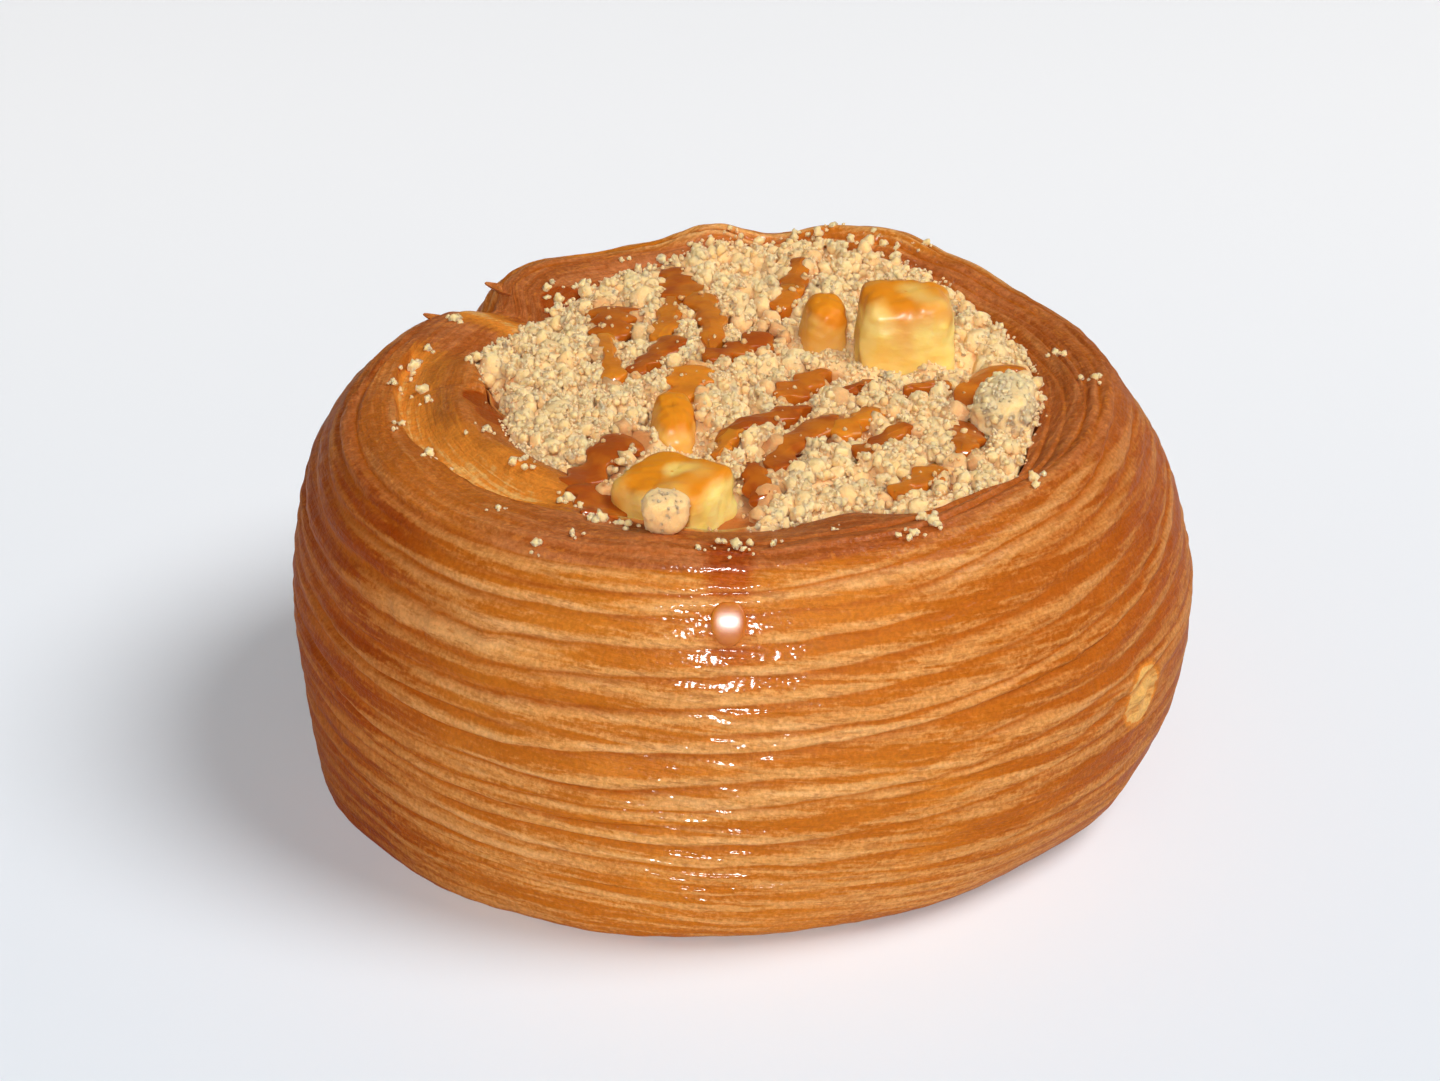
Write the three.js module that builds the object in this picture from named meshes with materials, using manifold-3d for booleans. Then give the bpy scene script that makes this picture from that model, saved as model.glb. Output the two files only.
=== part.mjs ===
// A round laminated danish baked in a ring. Its bowl holds apple dice, caramel and crumble.
// Millimetres, +Z up. The origin is the middle of the base, on the surface that it rests on.
// Angles are degrees round +Z from +X, the right-hand side, and the front faces -Y.
// A meridian is the line that runs up the wall from the base edge, over the crest of the rim
// and down to the edge of the filling. Every ring of the dough joins like points of all of them.
import * as THREE from 'three';
import { mergeVertices } from 'three/addons/utils/BufferGeometryUtils.js';
import Module from 'manifold-3d';

// ---------------------------------------------------------------- driving dimensions
const BELLY_RADIUS = 50;         // widest point of the wall, the same all the way round
const BASE_RADIUS = 42.9;        // flat foot
const BASE_SHIFT = 5.6;          // the foot sits this much off centre, to the left
const FOOT_BULGE = 0.9;          // and reaches this much further out at the front
const BELLY_HEIGHT = 21;
const CREST_RADIUS = 39.4;
const CREST_SHIFT = 1.2;         // the crest ring sits this much forward
const PINCH_ANGLE = 139.5;       // the crest is pinched in where the end of the dough tucks under
const PINCH_DEPTH = 1.8;
const RIM_LEVEL = 44;            // the inner edge of the rim is nearly level, about this high
const RIM_SAG = 1.5;             // less this drop
const BACK_SAG = 0.9;            // which is smaller at the back, where the crumble climbs the rim
const BOWL_FLOOR = 29;           // height of the bottom of the bowl
const BOWL_WALL = 6;             // width over which the bowl falls to its floor

const RIDGE_DEPTH = 0.75;        // from the lip of a layer to the groove under it
const RIDGE_LIP = 0.55;          // height of the step from a groove to its lip
const RING_TILT = 6.5;           // how far the layers climb towards the right back
const HIGH_SIDE = 45;            // direction in which the layers are highest

const GAP = 0.3;                 // clearance between pieces that touch
const HEAP_GAP = 0.45;           // and between the heap and the bowl, whose faces differ in size
const DICE = 11;                 // edge of an apple dice
const HEAP_MIDDLE = 44.2;        // height of the crumble in the middle
const CRUMB_COUNT = 40;          // crumbs large enough to be made one by one

// Spacing of the layers up the front of the wall, from the base to the crest.
const LAYER_STEPS = [3.6, 3.4, 3.2, 2.8, 2.1, 3.2, 3.6, 2.4, 2.4, 2.7, 3.7, 1.9, 3.1, 3.0, 3.0, 3.1, 2.1, 2.1];

// Uneven outlines as [angle, value], joined by smooth steps round the ring.
const CREST_HEIGHT = [
  [-180, 42.3], [-135, 42.7], [-90, 43.7], [-45, 44.5], [-10, 45.0], [15, 44.5], [36, 44.6], [50, 46.0],
  [63, 47.3], [74, 46.9], [86, 45.3], [95, 46.5], [107, 44.8], [117, 44.4], [127, 44.5], [135, 44.0],
  [139.5, 41.5], [147, 42.7], [162, 42.5],
];
const FILLING_RADIUS = [
  [-180, 28.4], [-166, 26.6], [-148, 27.8], [-132, 28.0], [-114, 33.2], [-100, 34.4], [-88, 34.2], [-72, 32.2],
  [-58, 35.6], [-42, 36.6], [-22, 33.4], [0, 32.2], [32, 32.4], [60, 35.4], [88, 37.0], [112, 33.8],
  [135, 30.4], [163, 31.4],
];

// Caramel drizzle on the crumble: width, then points as [x, y].
const DRIZZLE = [
  [5.0, [-16.5, 19], [-16, 13]],
  [2.6, [-15.5, 11], [-14.5, 5], [-13.5, -1]],
  [3.8, [-12, 30], [-9, 25], [-6, 20], [-5.5, 14], [-6, 8]],
  [3.6, [-11, 11], [-11.5, 6]],
  [3.4, [0, 14], [-3.5, 7]],
  [3.0, [6.5, 29], [5.5, 22]],
  [3.4, [7, 6], [3.5, -1]],
  [3.2, [5, -4], [-1, -8], [-2.5, -13]],
  [3.4, [8, -7], [5, -12], [3, -19]],
  [2.8, [13, -5], [10.5, -10]],
  [3.0, [16, -11], [13, -16]],
  [3.2, [28.5, 4.5], [25.5, 3], [23.5, -4]],
  [3.0, [23, -10], [22.5, -17]],
  [3.8, [19, -22], [16.5, -26]],
];

// ---------------------------------------------------------------- small mathematics
const radians = (angle) => (angle * Math.PI) / 180;
const mix = (a, b, t) => a + (b - a) * t;
const smooth = (t) => {
  const c = Math.min(1, Math.max(0, t));
  return c * c * (3 - 2 * c);
};
const turn = (angle) => ((((angle + 180) % 360) + 360) % 360) - 180;
const bump = (x, centre, width) => Math.exp(-(((x - centre) / width) ** 2));
const scatter = (n) => {
  const s = Math.sin(n * 12.9898 + 4.1) * 43758.5453;
  return s - Math.floor(s);
};

// The value of an uneven outline at an angle.
function around(outline, angle) {
  const a = turn(angle);
  const count = outline.length;
  let k = count - 1;
  for (let i = 0; i < count; i += 1) {
    if (outline[i][0] <= a) k = i;
  }
  const [a0, v0] = outline[k];
  const [a1, v1] = outline[(k + 1) % count];
  const span = k === count - 1 ? a1 + 360 - a0 : a1 - a0;
  return mix(v0, v1, smooth((a - a0) / span));
}

// ---------------------------------------------------------------- the dough's surface
const crestHeight = (angle) => around(CREST_HEIGHT, angle);
const fillingRadius = (angle) => around(FILLING_RADIUS, angle);
const pinch = (angle) => bump(turn(angle - PINCH_ANGLE), 0, 6);
const crestRadius = (angle) => (
  CREST_RADIUS - CREST_SHIFT * Math.sin(radians(angle)) - PINCH_DEPTH * pinch(angle)
);
const rimSag = (angle) => mix(RIM_SAG, BACK_SAG, bump(turn(angle - 82), 0, 42));
const rimEdgeHeight = (angle) => mix(crestHeight(angle), RIM_LEVEL, 0.35) - rimSag(angle);

// The left of the rim is a crescent: behind a thin outer lip a cut face drops, then rises to a fold.
const crescent = (angle) => {
  const a = turn(angle - 180);
  return smooth((a + 22) / 10) * smooth((62 - a) / 16);
};
const lipRadius = (angle) => 38.9 - 0.05 * turn(angle - 172);
const foldRadius = (angle) => mix(31.2, 30.2, smooth((turn(angle) + 180) / 60));
const CRESCENT_DROP = 1.3;
const FOLD_RISE = 1.7;

// Height of the rim between its crest and the edge of the filling.
function rimHeight(angle, radius) {
  const crest = crestRadius(angle);
  const across = (crest - radius) / (crest - fillingRadius(angle));
  const plain = mix(crestHeight(angle), rimEdgeHeight(angle), across ** 2);
  const share = crescent(angle);
  const inside = lipRadius(angle) - radius;
  const drop = CRESCENT_DROP * smooth(inside / 0.6) * (1 - smooth(inside / 5.5));
  const fold = FOLD_RISE * bump(radius, foldRadius(angle), 2.8);
  return plain + share * (fold - drop);
}

// Half a meridian as a quarter of a superellipse, from t = 0 to a quarter turn.
const quarter = (t, power) => [Math.cos(t) ** (2 / power), Math.sin(t) ** (2 / power)];

// The meridian at an angle: its points [radius, height, length from the base edge].
function meridian(angle) {
  const c = Math.cos(radians(angle));
  const foot = BASE_RADIUS - BASE_SHIFT * c + FOOT_BULGE * bump(turn(angle + 104), 0, 24);
  const belly = BELLY_HEIGHT + 1.9 * c;
  const lowPower = 1.93 + 0.72 * c;
  const highPower = 1.71 - 0.4 * c - 0.5 * pinch(angle);
  const crest = crestRadius(angle);
  const points = [];
  for (let i = 0; i <= 20; i += 1) {
    const [low, out] = quarter((i / 20) * (Math.PI / 2), lowPower);
    points.push([foot + (BELLY_RADIUS - foot) * out, belly * (1 - low)]);
  }
  for (let i = 1; i <= 20; i += 1) {
    const [out, up] = quarter((i / 20) * (Math.PI / 2), highPower);
    points.push([crest + (BELLY_RADIUS - crest) * out, belly + (crestHeight(angle) - belly) * up]);
  }
  const crestIndex = points.length - 1;
  for (let i = 1; i <= 40; i += 1) {
    const radius = mix(crest, fillingRadius(angle), i / 40);
    points.push([radius, rimHeight(angle, radius)]);
  }
  let length = 0;
  points.forEach((p, i) => {
    if (i > 0) length += Math.hypot(p[0] - points[i - 1][0], p[1] - points[i - 1][1]);
    p.push(length);
  });
  return { points, crestLength: points[crestIndex][2], length };
}

// The point of a meridian at a length, moved out along its normal.
function onMeridian(line, length, out) {
  const { points } = line;
  let k = 1;
  while (k < points.length - 1 && points[k][2] < length) k += 1;
  const [r0, z0, s0] = points[k - 1];
  const [r1, z1, s1] = points[k];
  const t = (length - s0) / (s1 - s0);
  const run = Math.hypot(r1 - r0, z1 - z0);
  return [mix(r0, r1, t) + (out * (z1 - z0)) / run, mix(z0, z1, t) - (out * (r1 - r0)) / run];
}

// Length up the meridian of a layer that is `share` of the way from base to crest.
function layerLength(line, angle, share) {
  const climb = RING_TILT * Math.sin(radians(angle + 90 - HIGH_SIDE));
  const wave = 0.35 * Math.sin(radians(3 * angle) + 9 * share) * Math.sin(Math.PI * share);
  return line.crestLength * share + climb * Math.sin(Math.PI * 0.8 * share) + wave;
}

// How deep the layers show: flatter near the foot, and lost in the smooth crest at the left front.
function layerDepth(angle, share) {
  const leftFront = bump(turn(angle + 140), 0, 55);
  const fade = 1 - leftFront * smooth((share - 0.8) / 0.2);
  return RIDGE_DEPTH * mix(0.6, 1, smooth(share / 0.4)) * fade;
}

// ---------------------------------------------------------------- solids and meshes
const wasm = await Module();
wasm.setup();

function solidFrom(geometry) {
  const bare = geometry.clone();
  bare.deleteAttribute('normal');
  bare.deleteAttribute('uv');
  const merged = mergeVertices(bare, 1e-5);
  return new wasm.Manifold(new wasm.Mesh({
    numProp: 3,
    vertProperties: new Float32Array(merged.attributes.position.array),
    triVerts: new Uint32Array(merged.index.array),
  }));
}

function geometryFrom(solid) {
  const mesh = solid.getMesh();
  const geometry = new THREE.BufferGeometry();
  geometry.setAttribute('position', new THREE.BufferAttribute(new Float32Array(mesh.vertProperties), 3));
  geometry.setIndex([...mesh.triVerts]);
  geometry.computeVertexNormals();
  return geometry;
}

// A closed body of stacked rings, listed from its bottom pole to its top pole.
function ringBody(bottom, rings, top) {
  const columns = rings[0].length;
  const vertices = [bottom, ...rings.flat(), top];
  const faces = [];
  const at = (ring, column) => 1 + ring * columns + (column % columns);
  for (let j = 0; j < columns; j += 1) {
    faces.push(0, at(0, j + 1), at(0, j));
    faces.push(vertices.length - 1, at(rings.length - 1, j), at(rings.length - 1, j + 1));
    for (let i = 0; i + 1 < rings.length; i += 1) {
      faces.push(at(i, j), at(i, j + 1), at(i + 1, j + 1));
      faces.push(at(i, j), at(i + 1, j + 1), at(i + 1, j));
    }
  }
  const geometry = new THREE.BufferGeometry();
  geometry.setAttribute('position', new THREE.Float32BufferAttribute(vertices.flat(), 3));
  geometry.setIndex(faces);
  geometry.computeVertexNormals();
  return geometry;
}

const polar = (angle, radius, height) => [
  radius * Math.cos(radians(angle)), radius * Math.sin(radians(angle)), height,
];

// The bowl falls from the edge of the filling to its floor; depth runs from 0 to 1.
const BOWL_STEPS = [[0.12, 0.3], [0.35, 0.62], [0.7, 0.9], [1, 1]];
function bowlPoint(angle, inward, down, inset) {
  const edge = fillingRadius(angle);
  const radius = edge - BOWL_WALL * inward - inset;
  return [radius, mix(rimEdgeHeight(angle), BOWL_FLOOR, down) + inset];
}

// ---------------------------------------------------------------- the pastry
const DOUGH_COLUMNS = 80;
const RIM_SHARES = [0.14, 0.3, 0.45, 0.6, 0.74, 0.87, 1];

// Lengths of the rings between the last layer and the filling. They are evenly spread, and on the
// crescent they follow the crest, both edges of the drop, the cut face and the fold.
function rimLengths(line, angle, last) {
  const crest = crestRadius(angle);
  const lip = lipRadius(angle);
  const fold = foldRadius(angle);
  const edge = fillingRadius(angle);
  const marks = [crest - 0.3, lip, lip - 0.8, mix(lip, fold, 0.55), fold, mix(fold, edge, 0.6), edge];
  const crestAt = line.points.findIndex(([, , length]) => length >= line.crestLength);
  return RIM_SHARES.map((share, k) => {
    const even = mix(last, line.length, share);
    const inner = line.points.slice(crestAt);
    const found = inner.findIndex(([radius]) => radius <= marks[k] + 1e-6);
    if (found < 1) return even;
    const [[r0, , s0], [r1, , s1]] = [inner[found - 1], inner[found]];
    const marked = mix(s0, s1, (r0 - marks[k]) / (r0 - r1));
    return mix(even, marked, crescent(angle));
  });
}

function doughRings() {
  const total = LAYER_STEPS.reduce((a, b) => a + b, 0);
  const shares = [];
  LAYER_STEPS.reduce((sum, step) => {
    shares.push((sum + step) / total);
    return sum + step;
  }, 0);
  const columns = Array.from({ length: DOUGH_COLUMNS }, (_, j) => {
    const angle = (360 * j) / DOUGH_COLUMNS;
    const line = meridian(angle);
    const column = [[line.points[0][0], 0]];
    let last = 0;
    shares.forEach((share) => {
      const depth = layerDepth(angle, share);
      last = layerLength(line, angle, share) + RIDGE_LIP / 2;
      column.push(onMeridian(line, last - RIDGE_LIP, -depth / 2), onMeridian(line, last, depth / 2));
    });
    rimLengths(line, angle, last).forEach((length) => column.push(onMeridian(line, length, 0)));
    BOWL_STEPS.forEach(([inward, down]) => column.push(bowlPoint(angle, inward, down, 0)));
    return column.map(([radius, height]) => polar(angle, radius, height));
  });
  return columns[0].map((_, i) => columns.map((column) => column[i]));
}

// ---------------------------------------------------------------- toppings
// A blob around the origin: a sphere or box surface, made uneven by slow waves over it.
function uneven(geometry, amount, seed) {
  const position = geometry.attributes.position;
  const p = new THREE.Vector3();
  for (let i = 0; i < position.count; i += 1) {
    p.fromBufferAttribute(position, i);
    const wave = Math.sin(p.x * 1.3 + seed) + Math.sin(p.y * 1.7 + 2 * seed) + Math.sin(p.z * 1.5 + 3 * seed);
    p.multiplyScalar(1 + (amount * wave) / p.length());
    position.setXYZ(i, p.x, p.y, p.z);
  }
  return geometry;
}

// A hand-cut dice with rounded edges. Its top is `taper` times as wide as its foot.
const DICE_POWER = 8;
function diceGeometry([width, depth, height], taper, seed) {
  const geometry = new THREE.BoxGeometry(2, 2, 2, 4, 4, 4);
  const position = geometry.attributes.position;
  for (let i = 0; i < position.count; i += 1) {
    const spread = (v) => Math.sign(v) * Math.abs(v) ** 0.55;
    const p = [position.getX(i), position.getY(i), position.getZ(i)].map(spread);
    const reach = p.reduce((sum, v) => sum + Math.abs(v) ** DICE_POWER, 0) ** (1 / DICE_POWER);
    const [x, y, z] = p.map((v) => v / reach / 2);
    const lean = 1 + (taper - 1) * (z + 0.5);
    position.setXYZ(i, width * x * lean, depth * y * lean, height * z);
  }
  return uneven(geometry, 0.09, seed);
}

// The pocket of a dice: a plain box of its size and taper, wider by a gap on every side.
function pocketGeometry([width, depth, height], taper) {
  const geometry = new THREE.BoxGeometry(width + 2 * GAP, depth + 2 * GAP, height + 2 * GAP);
  const position = geometry.attributes.position;
  for (let i = 0; i < position.count; i += 1) {
    const lean = 1 + (taper - 1) * (position.getZ(i) / height + 0.5);
    position.setXYZ(i, position.getX(i) * lean, position.getY(i) * lean, position.getZ(i));
  }
  return geometry;
}

// Each dice: its size, how much it narrows to the top, its place and its turn about X, Y and Z.
const APPLE_DICE = {
  apple_dice_front: { size: [DICE, 9, 9], taper: 1, at: [-7, -26.6, 41.2], turn: [2, -5, -38] },
  apple_dice_back: { size: [DICE + 0.4, 9.6, 10.5], taper: 0.86, at: [18, 9.4, 45.2], turn: [4, 0, 1] },
  apple_dice_side: { size: [5.4, 7.5, 7.5], taper: 0.8, at: [9.0, 13.0, 44.2], turn: [6, 8, 8] },
  apple_dice_middle: { size: [5.6, 12, 7], taper: 0.75, at: [-7.6, -9.6, 41.9], turn: [6, 0, 4] },
};
const CLUMP = { size: [6.4, 9.6, 5.6], at: [28.0, -8.4, 44.2], turn: [0, -8, -14] };
const BALL = { size: [4.6, 4.5, 4.0], at: [-8.0, -34.9, 45.2], turn: [18, 0, 0] };

function set(geometry, { at, turn: angles }) {
  const place = new THREE.Matrix4().makeRotationFromEuler(new THREE.Euler(...angles.map(radians)));
  place.setPosition(...at);
  return geometry.applyMatrix4(place);
}

// A round topping and its pocket, which is wider by a gap and a half as it has flatter faces.
function roundTopping(piece, amount, seed) {
  const pocketSize = piece.size.map((length) => length + 3 * GAP);
  return {
    ...piece,
    shape: uneven(new THREE.IcosahedronGeometry(0.5, 2).scale(...piece.size), amount, seed),
    pocket: uneven(new THREE.IcosahedronGeometry(0.5, 1).scale(...pocketSize), amount, seed),
  };
}

const toppings = {
  crumble_clump: roundTopping(CLUMP, 0.16, 2),
  crumble_ball: roundTopping(BALL, 0.05, 5),
};
Object.entries(APPLE_DICE).forEach(([name, dice], i) => {
  const shape = diceGeometry(dice.size, dice.taper, i + 1);
  toppings[name] = { ...dice, shape, pocket: pocketGeometry(dice.size, dice.taper) };
});

// ---------------------------------------------------------------- the crumble heap
const HEAP_COLUMNS = 54;
const HEAP_RINGS = 7;

// Height of the heap: from just over the rim's inner edge it swells towards the middle.
function heapHeight(angle, radius) {
  const reach = Math.min(1, radius / fillingRadius(angle));
  return mix(HEAP_MIDDLE, rimEdgeHeight(angle) + 0.4, reach ** 2.4);
}

function heapRings() {
  const columns = Array.from({ length: HEAP_COLUMNS }, (_, j) => {
    const angle = (360 * j) / HEAP_COLUMNS;
    const column = [...BOWL_STEPS].reverse().map(([inward, down]) => bowlPoint(angle, inward, down, HEAP_GAP));
    const edge = fillingRadius(angle) - HEAP_GAP - 0.1;
    for (let i = 0; i < HEAP_RINGS; i += 1) {
      const radius = edge * (1 - i / HEAP_RINGS);
      const rough = i === 0 ? 0 : 0.7 * (scatter(97 * i + j) - 0.5);
      column.push([radius, heapHeight(angle, radius) + rough]);
    }
    return column.map(([radius, height]) => polar(angle, radius, height));
  });
  return columns[0].map((_, i) => columns.map((column) => column[i]));
}

// Crumbs that show, spread evenly by the golden angle. Those that would cross a topping are left out.
const GOLDEN_ANGLE = 137.508;
function crumbPlaces() {
  const places = [];
  for (let n = 0; n < CRUMB_COUNT; n += 1) {
    const angle = n * GOLDEN_ANGLE;
    const size = mix(1.1, 1.9, scatter(n) ** 2);
    const radius = (fillingRadius(angle) - size - 0.6) * Math.sqrt((n + 0.5) / CRUMB_COUNT);
    const at = polar(angle, radius, heapHeight(angle, radius) + 0.2 * size);
    const clear = Object.values(toppings).every((piece) => {
      const apart = Math.hypot(at[0] - piece.at[0], at[1] - piece.at[1]);
      return apart > 0.5 * Math.hypot(piece.size[0], piece.size[1]) + size;
    });
    if (clear) places.push({ n, at, size });
  }
  return places;
}

function crumb({ n, at, size }) {
  const geometry = new THREE.IcosahedronGeometry(size, 0);
  geometry.scale(1, mix(0.75, 1, scatter(n + 0.3)), mix(0.7, 0.9, scatter(n + 0.6)));
  return solidFrom(geometry.rotateZ(n).translate(...at));
}

// A bead of caramel: an ellipse carried along a path, drawn in to a point at both ends.
const BEAD_SIDES = 6;
function bead(path, up, width, height) {
  const steps = 5;
  const stations = Array.from({ length: steps + 1 }, (_, i) => {
    const t = i / steps;
    const along = path.getTangent(t);
    return { at: path.getPoint(t), across: new THREE.Vector3().crossVectors(up, along).normalize(), t };
  });
  const rings = stations.slice(1, -1).map(({ at, across, t }) => {
    const full = (1 - (2 * t - 1) ** 4) ** 0.5;
    return Array.from({ length: BEAD_SIDES }, (_, k) => {
      const a = (2 * Math.PI * k) / BEAD_SIDES;
      return at.clone()
        .addScaledVector(across, 0.5 * width * full * Math.cos(a))
        .addScaledVector(up, 0.5 * height * full * Math.sin(a))
        .toArray();
    });
  });
  return ringBody(stations[0].at.toArray(), rings, stations[steps].at.toArray());
}

function drizzle([width, ...points]) {
  const lay = points.map(([x, y]) => {
    const angle = (Math.atan2(y, x) * 180) / Math.PI;
    return new THREE.Vector3(x, y, heapHeight(angle, Math.hypot(x, y)) + 0.1);
  });
  const path = new THREE.CatmullRomCurve3(lay);
  return solidFrom(bead(path, new THREE.Vector3(0, 0, 1), width, 1.8));
}

let heap = solidFrom(ringBody([0, 0, BOWL_FLOOR + HEAP_GAP], heapRings(), [0, 0, HEAP_MIDDLE]));
[...crumbPlaces().map(crumb), ...DRIZZLE.map(drizzle)].forEach((piece) => { heap = heap.add(piece); });
Object.values(toppings).forEach((piece) => { heap = heap.subtract(solidFrom(set(piece.pocket, piece))); });

// ---------------------------------------------------------------- caramel drip and torn flakes
// A run of caramel goes down the front of the wall from the crest and ends in a drop.
const DRIP_ANGLE = -91.5;
const DRIP_LENGTH = 9;
const DRIP_WIDTH = 3.2;
const DROP_LENGTH = 4.6;

function wallPath(angle, from, to, out) {
  const line = meridian(angle);
  const points = [0, 0.34, 0.67, 1].map((t) => {
    const [radius, height] = onMeridian(line, line.crestLength - mix(from, to, t), out);
    return new THREE.Vector3(...polar(angle, radius, height));
  });
  return new THREE.CatmullRomCurve3(points);
}

const dripUp = new THREE.Vector3(0, -0.8, 0.6);
const run = solidFrom(bead(wallPath(DRIP_ANGLE, -1, DRIP_LENGTH, 0), dripUp, DRIP_WIDTH, 1.3));
const dropFrom = DRIP_LENGTH - DROP_LENGTH * 0.6;
const drop = solidFrom(bead(wallPath(DRIP_ANGLE, dropFrom, dropFrom + DROP_LENGTH, 0.1), dripUp, 4, 2.4));

// Two torn tips of dough stand out from the crest at the left back: angle, radius, height.
const FLAKES = [[148.2, 41.4, 40.9], [136.9, 38.8, 42.8]];
const FLAKE_POINTS = new THREE.Vector3(-0.95, 0.1, 0.15).normalize();
function flake([angle, radius, height]) {
  const lay = new THREE.Quaternion().setFromUnitVectors(new THREE.Vector3(0, 1, 0), FLAKE_POINTS);
  const cone = new THREE.ConeGeometry(1.2, 3.6, 5).applyQuaternion(lay);
  return solidFrom(cone.translate(...polar(angle, radius, height)));
}

let dough = solidFrom(ringBody([0, 0, 0], doughRings(), [0, 0, BOWL_FLOOR]));
[run, drop, ...FLAKES.map(flake)].forEach((piece) => { dough = dough.add(piece); });

// ---------------------------------------------------------------- assembly
const crust = new THREE.MeshStandardMaterial({ color: 0xb9662a, roughness: 0.38, metalness: 0 });
const crumbs = new THREE.MeshStandardMaterial({ color: 0xe5b57a, roughness: 0.9, metalness: 0 });
const apple = new THREE.MeshStandardMaterial({ color: 0xe9b95c, roughness: 0.3, metalness: 0 });

const danish = new THREE.Group();
danish.name = 'danish_pastry';

function addPiece(name, geometry, material) {
  const mesh = new THREE.Mesh(geometry, material);
  mesh.name = name;
  danish.add(mesh);
}

addPiece('pastry', geometryFrom(dough), crust);
addPiece('crumble', geometryFrom(heap), crumbs);
Object.entries(toppings).forEach(([name, piece]) => {
  addPiece(name, set(piece.shape, piece), name.startsWith('apple') ? apple : crumbs);
});

export default danish;
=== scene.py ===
"""A round laminated danish with a filled bowl of crumble, apple dice and caramel.

Lengths are metres and angles are degrees round +Z from +X, the right-hand side. The front faces -Y.
A meridian is the line that runs up the wall from the base edge, over the crest of the rim and down
to the edge of the filling. The dough is a grid of such lines, and each thing on it is a closed form
of its own.
"""

import functools
from collections import namedtuple

import bpy
import numpy as np
from bpy.props import FloatProperty, FloatVectorProperty, PointerProperty
from bpy.types import Operator, Panel, PropertyGroup
from mathutils import Color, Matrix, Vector


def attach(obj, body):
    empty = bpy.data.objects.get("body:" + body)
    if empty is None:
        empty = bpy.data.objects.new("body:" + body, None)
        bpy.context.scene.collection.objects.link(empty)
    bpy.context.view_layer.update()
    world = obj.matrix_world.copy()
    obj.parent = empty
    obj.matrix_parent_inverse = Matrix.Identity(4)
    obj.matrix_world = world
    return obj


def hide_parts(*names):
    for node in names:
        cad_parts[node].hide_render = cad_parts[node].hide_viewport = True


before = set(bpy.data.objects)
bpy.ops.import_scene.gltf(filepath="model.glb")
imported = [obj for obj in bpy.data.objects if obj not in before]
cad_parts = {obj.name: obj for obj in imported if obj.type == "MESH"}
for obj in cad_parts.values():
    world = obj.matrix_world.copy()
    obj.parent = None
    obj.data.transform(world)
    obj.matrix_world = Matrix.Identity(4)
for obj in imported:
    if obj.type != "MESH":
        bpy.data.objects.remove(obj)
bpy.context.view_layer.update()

bl_info = {
    "name": "Crumble danish",
    "version": (1, 0, 0),
    "blender": (4, 5, 0),
    "location": "3D View > Sidebar > Danish",
    "description": "Builds a laminated danish with crumble, apple dice and caramel",
    "category": "Add Mesh",
}

MM = 0.001
UP = np.array([0.0, 0.0, 1.0])

# ---------------------------------------------------------------- sizes of the dough
BELLY_RADIUS = 50 * MM
BASE_RADIUS = 42.9 * MM
BASE_SHIFT = 5.6 * MM
FOOT_BULGE = 0.9 * MM
BELLY_HEIGHT = 21 * MM
BELLY_LEAN = 1.9 * MM
CREST_RADIUS = 39.4 * MM
CREST_SHIFT = 1.2 * MM
PINCH_ANGLE = 139.5
PINCH_DEPTH = 1.8 * MM
PINCH_WIDTH = 6
RIM_LEVEL = 44 * MM
RIM_SAG = 1.5 * MM
BACK_SAG = 0.9 * MM
BOWL_FLOOR = 29 * MM
BOWL_WALL = 6 * MM
CRESCENT_DROP = 1.3 * MM
LIP_WIDTH = 0.6 * MM
CUT_WIDTH = 5.5 * MM
FOLD_RISE = 1.7 * MM
FOLD_WIDTH = 2.8 * MM
RIDGE_DEPTH = 0.34 * MM
RING_TILT = 6.5 * MM
HIGH_SIDE = 45
HEAP_MIDDLE = 44.2 * MM
HEAP_GAP = 0.45 * MM

# Spacing of the layers up the front of the wall, from the base to the crest.
LAYER_STEPS = [3.6, 3.4, 3.2, 2.8, 2.1, 3.2, 3.6, 2.4, 2.4, 2.7, 3.7, 1.9, 3.1, 3.0, 3.0, 3.1, 2.1, 2.1]
# How much of each layer is its raised pale band; the rest is smooth and darker.
BAND_REACH = [0.7, 0.75, 0.7, 0.62, 0.6, 0.66, 0.5, 0.7, 0.6, 0.6, 0.34, 0.6, 0.5, 0.52, 0.42, 0.42, 0.5, 0.4]

# Uneven outlines as [angle, value], joined by smooth steps round the ring.
CREST_HEIGHT = [
    [-180, 42.3], [-135, 42.7], [-90, 43.7], [-45, 44.5], [-10, 45.0], [15, 44.5], [36, 44.6], [50, 46.0],
    [63, 47.3], [74, 46.9], [86, 45.3], [95, 46.5], [107, 44.8], [117, 44.4], [127, 44.5], [135, 44.0],
    [139.5, 41.5], [147, 42.7], [162, 42.5],
]
FILLING_RADIUS = [
    [-180, 28.4], [-166, 26.6], [-148, 27.8], [-132, 28.0], [-114, 33.2], [-100, 34.4], [-88, 34.2],
    [-72, 32.2], [-58, 35.6], [-42, 36.6], [-22, 33.4], [0, 32.2], [32, 32.4], [60, 35.4], [88, 37.0],
    [112, 33.8], [135, 30.4], [163, 31.4],
]

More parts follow.
